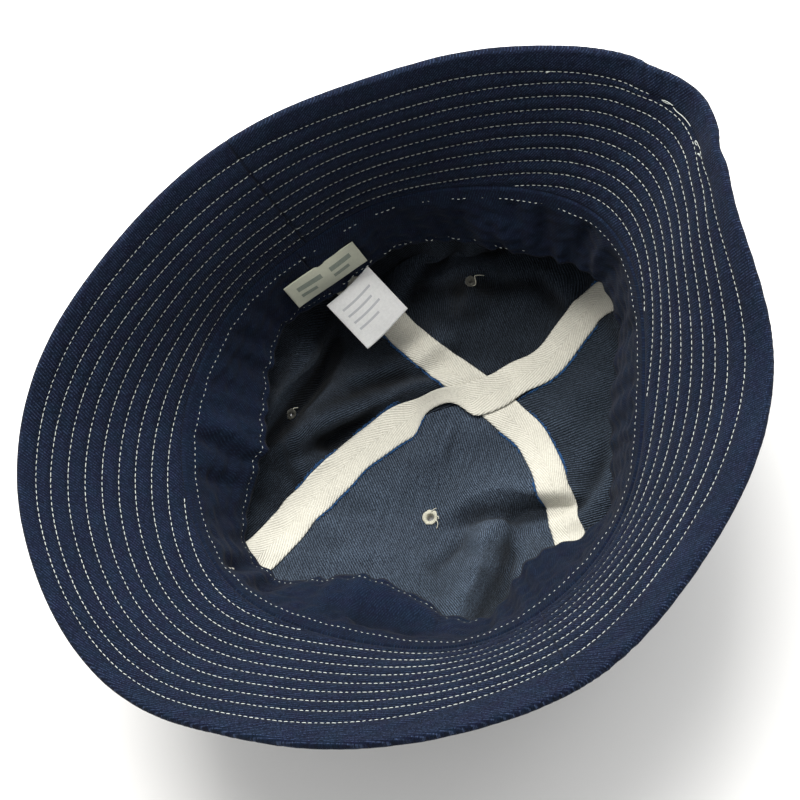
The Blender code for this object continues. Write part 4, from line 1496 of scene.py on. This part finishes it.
BRIM_THREADS = (
    ((-7.4, 0.842, 0.3), (-6.6, 0.851, 0.9), (-6.0, 0.843, 1.1), (-6.5, 0.832, 0.8), (-7.0, 0.838, 0.5)),
    ((-9.2, 0.838, 0.3), (-8.8, 0.850, 0.9), (-8.5, 0.834, 1.0), (-9.1, 0.846, 0.9), (-8.7, 0.840, 0.6)),
    ((-3.4, 0.842, 0.3), (-2.2, 0.850, 1.0), (-1.0, 0.846, 1.1), (0.2, 0.836, 0.7), (1.2, 0.842, 0.3)),
    ((1.0, 0.850, 0.3), (2.2, 0.858, 0.9), (3.2, 0.846, 1.0), (2.4, 0.838, 0.6), (1.6, 0.846, 0.4)),
    ((20.6, 0.842, 0.3), (21.0, 0.852, 0.9), (21.4, 0.838, 1.0), (20.8, 0.846, 0.9), (21.3, 0.843, 0.5)),
)
VENT_THREADS = {
    2: (
        ((1.6, 1.6, 0.8), (2.6, 1.4, 1.2), (3.6, 1.3, 1.3), (4.6, 0.9, 0.9)),
        ((0.6, -2.2, 0.8), (1.2, -3.3, 1.3), (0.7, -4.4, 1.4), (-0.4, -5.0, 0.8), (-1.2, -5.4, 0.6)),
        ((2.0, -1.4, 0.7), (2.8, -2.2, 1.3), (2.2, -3.2, 1.0)),
    ),
    0: (
        (
            (-0.8, -1.8, 0.8),
            (0.6, -2.9, 1.4),
            (2.0, -1.2, 1.8),
            (2.8, 0.4, 1.6),
            (4.6, -1.0, 1.2),
            (6.0, -2.4, 0.9),
        ),
    ),
    1: (((1.4, 0.6, 0.8), (2.8, 0.8, 1.4), (4.0, 0.2, 1.2)),),
}
THREAD_POINTS = 24
RING_THREAD_RADIUS = 0.00015
VENT_THREAD_RADIUS = 0.00017


def tubes(paths, radius):
    """Sections of five points along paths (count, points, 3), for stitching to close at the ends."""
    along = unit(np.gradient(paths, axis=1))
    side = unit(np.cross(along, [0.31, 0.17, 0.94]))
    other = np.cross(along, side)
    angle = 2 * math.pi * np.arange(5) / 5
    ring = np.cos(angle)[:, None] * side[:, :, None] + np.sin(angle)[:, None] * other[:, :, None]
    return paths[:, :, None] + radius * ring


def curl(corners):
    """A soft curve near the given corners, with THREAD_POINTS points."""
    corners = np.asarray(corners, float)
    way = np.linspace(0, len(corners) - 1, THREAD_POINTS)
    straight = np.stack([np.interp(way, np.arange(len(corners)), c) for c in corners.T], -1)
    return smoothed(straight, 6)


def make_fray(tape, way, middle, edges, across, up, plane):
    """Blue threads that stand out from a tape's edges: short arcs, each turned by chance.

    way: metres along the tape from the crossing. edges: how far its two edges lie from the middle.
    """
    draw = np.random.RandomState(70 + tape.layer)
    t = np.linspace(0, 1, 8)
    paths = []
    for fray in FRAYS:
        if fray.name != tape.name:
            continue
        count = int(FRAY_STRANDS * (fray.last - fray.first))
        start = draw.uniform(fray.first, fray.last, count)
        length = draw.uniform(-0.0022, 0.0022, count)
        reach = draw.uniform(0.0001, 0.0009, count)
        bow = draw.uniform(0.0001, 0.0006, count)
        at = np.clip(start[:, None] + length[:, None] * t, way[0], way[-1])
        numbers = np.interp(at, way, np.arange(len(way)))
        edge = np.interp(numbers, np.arange(len(way)), edges[0 if fray.side < 0 else 1])
        out = fray.side * (reach[:, None] * np.sin(math.pi * t) + 0.0002)
        base, side, normal, spot = (
            read_at(v, numbers.ravel()).reshape(count, len(t), -1) for v in (middle, across, up, plane)
        )
        seats = on_crown(base + (edge + out)[..., None] * side, normal, spot)
        height = 0.0003 + bow[:, None] * np.sin(math.pi * t)
        paths.append(seats + height[..., None] * normal)
    beads = tubes(np.concatenate(paths), FRAY_RADIUS)
    stitching(f"{tape.name}_fray", [beads], FRAY_THREAD)


def make_loose_threads():
    """Loose ends of the brim's outer ring and of the vents' thread."""
    brim = []
    for corners in BRIM_THREADS:
        azimuth, share, height = curl(corners).T
        brim.append(brim_face(azimuth, share, 1) + height[:, None] / 1000 * brim_normal(azimuth, share))
    beads = tubes(np.stack(brim), RING_THREAD_RADIUS)
    stitching("brim_loose_thread", [beads], STITCH_THREAD)
    vents = []
    for number, threads in VENT_THREADS.items():
        vent = VENTS[number]
        centre = crown_face(vent.place, vent.way)
        up = np.array([0, 0, 1.0])
        for corners in threads:
            offset = curl(corners) / 1000
            targets = centre + offset * [1, 1, 0]
            seats = on_crown(targets, np.broadcast_to(up, targets.shape), on_plane(vent.place, vent.way))
            vents.append(seats + offset[:, 2:] * up)
    beads = tubes(np.stack(vents), VENT_THREAD_RADIUS)
    stitching("vent_loose_thread", [beads], EYELET_THREAD)


# Labels

def make_label(label):
    """A small label whose top edge lies on the sweatband, and which leans in and bellies.

    Its belly is a sine along its length times a cosine across its width.
    """
    sides = np.linspace(-0.5, 0.5, 45)[None, :] * label.width
    shares = np.linspace(0, 1, 35)[:, None]
    turn = math.radians(label.turn)
    aside = sides * math.cos(turn) + shares * label.length * math.sin(turn)
    below = shares * label.length * math.cos(turn) - sides * math.sin(turn)
    spread = label.azimuth - np.degrees(aside / opening_radius(label.azimuth))
    inward = -outwards(np.asarray(float(label.azimuth)))
    top = band_point(spread, label.drop, CLOTH + GAP) + label.off * inward
    upward = np.array([0, 0, 1.0])
    lean = math.radians(label.lean)
    down = math.sin(lean) * inward - math.cos(lean) * upward
    face = math.cos(lean) * inward + math.sin(lean) * upward
    belly = label.sag * np.sin(math.pi * shares) * np.cos(math.pi * sides / label.width)
    back = top + below[..., None] * down + belly[..., None] * face
    flat = pair(sides, shares * label.length)
    front = back + LABEL_THICKNESS * face
    made = slab(f"{label.name}_cloth", front, back, [LABEL_FINISHES[label.name]], flat)
    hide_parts(label.name)


# Floor, light and camera

CAMERA_PLACE = (0.02303, -0.30836, 0.95969)
CAMERA_RIGHT = (0.70324, -0.66008, -0.26410)
CAMERA_UP = (0.71039, 0.66723, 0.22397)
CAMERA_LENS = 111.87  # millimetres, on a sensor 36 wide


def make_floor():
    """A wide level sheet, a square grid of points."""
    half, count = 3.0, 9
    line = np.linspace(-half, half, count)
    points = np.stack([*np.meshgrid(line, line, indexing="ij"), np.zeros((count, count))], -1)
    mesh = bpy.data.meshes.new("floor")
    mesh.from_pydata(points.reshape(-1, 3).tolist(), [], grid_quads(count, count)[:, ::-1].tolist())
    mesh.materials.append(plain("pale_floor", (0.86, 0.855, 0.84), 0.9))
    made = bpy.data.objects.new("floor", mesh)
    bpy.context.scene.collection.objects.link(made)


LAMP_DISTANCE = 1.7
SKY_STRENGTH = 0.66


def area_light(name, azimuth, elevation, size, power, colour):
    """A square lamp on a sphere round the hat, turned to its middle."""
    data = bpy.data.lights.new(name, "AREA")
    data.energy = power
    data.size = size
    data.color = colour
    lamp = bpy.data.objects.new(name, data)
    level_reach = LAMP_DISTANCE * math.cos(math.radians(elevation))
    lamp.location = (
        level_reach * math.cos(math.radians(azimuth)),
        level_reach * math.sin(math.radians(azimuth)),
        LAMP_DISTANCE * math.sin(math.radians(elevation)),
    )
    lamp.rotation_euler = (math.radians(90 - elevation), 0, math.radians(azimuth + 90))
    bpy.context.scene.collection.objects.link(lamp)


def make_light():
    area_light("key", 50, 58, 1.2, 56, (1.0, 0.99, 0.97))
    area_light("second", 0, 42, 1.0, 12, (0.98, 0.99, 1.0))
    world = bpy.data.worlds.new("studio")
    world.use_nodes = True
    sky = world.node_tree.nodes["Background"]
    sky.inputs["Color"].default_value = (1.0, 1.0, 1.0, 1)
    sky.inputs["Strength"].default_value = SKY_STRENGTH
    bpy.context.scene.world = world


def make_camera():
    data = bpy.data.cameras.new("camera")
    data.lens = CAMERA_LENS
    data.sensor_width = 36
    data.clip_end = 50
    camera = bpy.data.objects.new("camera", data)
    right, up = np.array(CAMERA_RIGHT), np.array(CAMERA_UP)
    back = np.cross(right, up)
    turn = np.eye(4)
    turn[:3, 0], turn[:3, 1], turn[:3, 2], turn[:3, 3] = right, up, back, CAMERA_PLACE
    camera.matrix_world = Matrix(turn.tolist())
    bpy.context.scene.collection.objects.link(camera)
    bpy.context.scene.camera = camera
    bpy.context.scene.view_settings.view_transform = "Standard"


def make_hat():
    make_half_brim("brim_left", *BRIM_JOINS)
    make_half_brim("brim_right", BRIM_JOINS[1] - 360, BRIM_JOINS[0])
    make_brim_stitching("brim_stitching_top", 1)
    make_brim_stitching("brim_stitching_under", -1)
    for number, (seam, vent) in enumerate(zip((-1,) + SEAMS[:3], VENTS), start=1):
        make_gore(number, seam, seam + 2, vent)
        make_eyelet(number, vent)
    make_band()
    make_band_stitching()
    for tape in TAPES:
        make_tape(tape)
    for label in LABELS:
        make_label(label)
    make_loose_threads()


make_floor()
make_light()
make_camera()
make_hat()
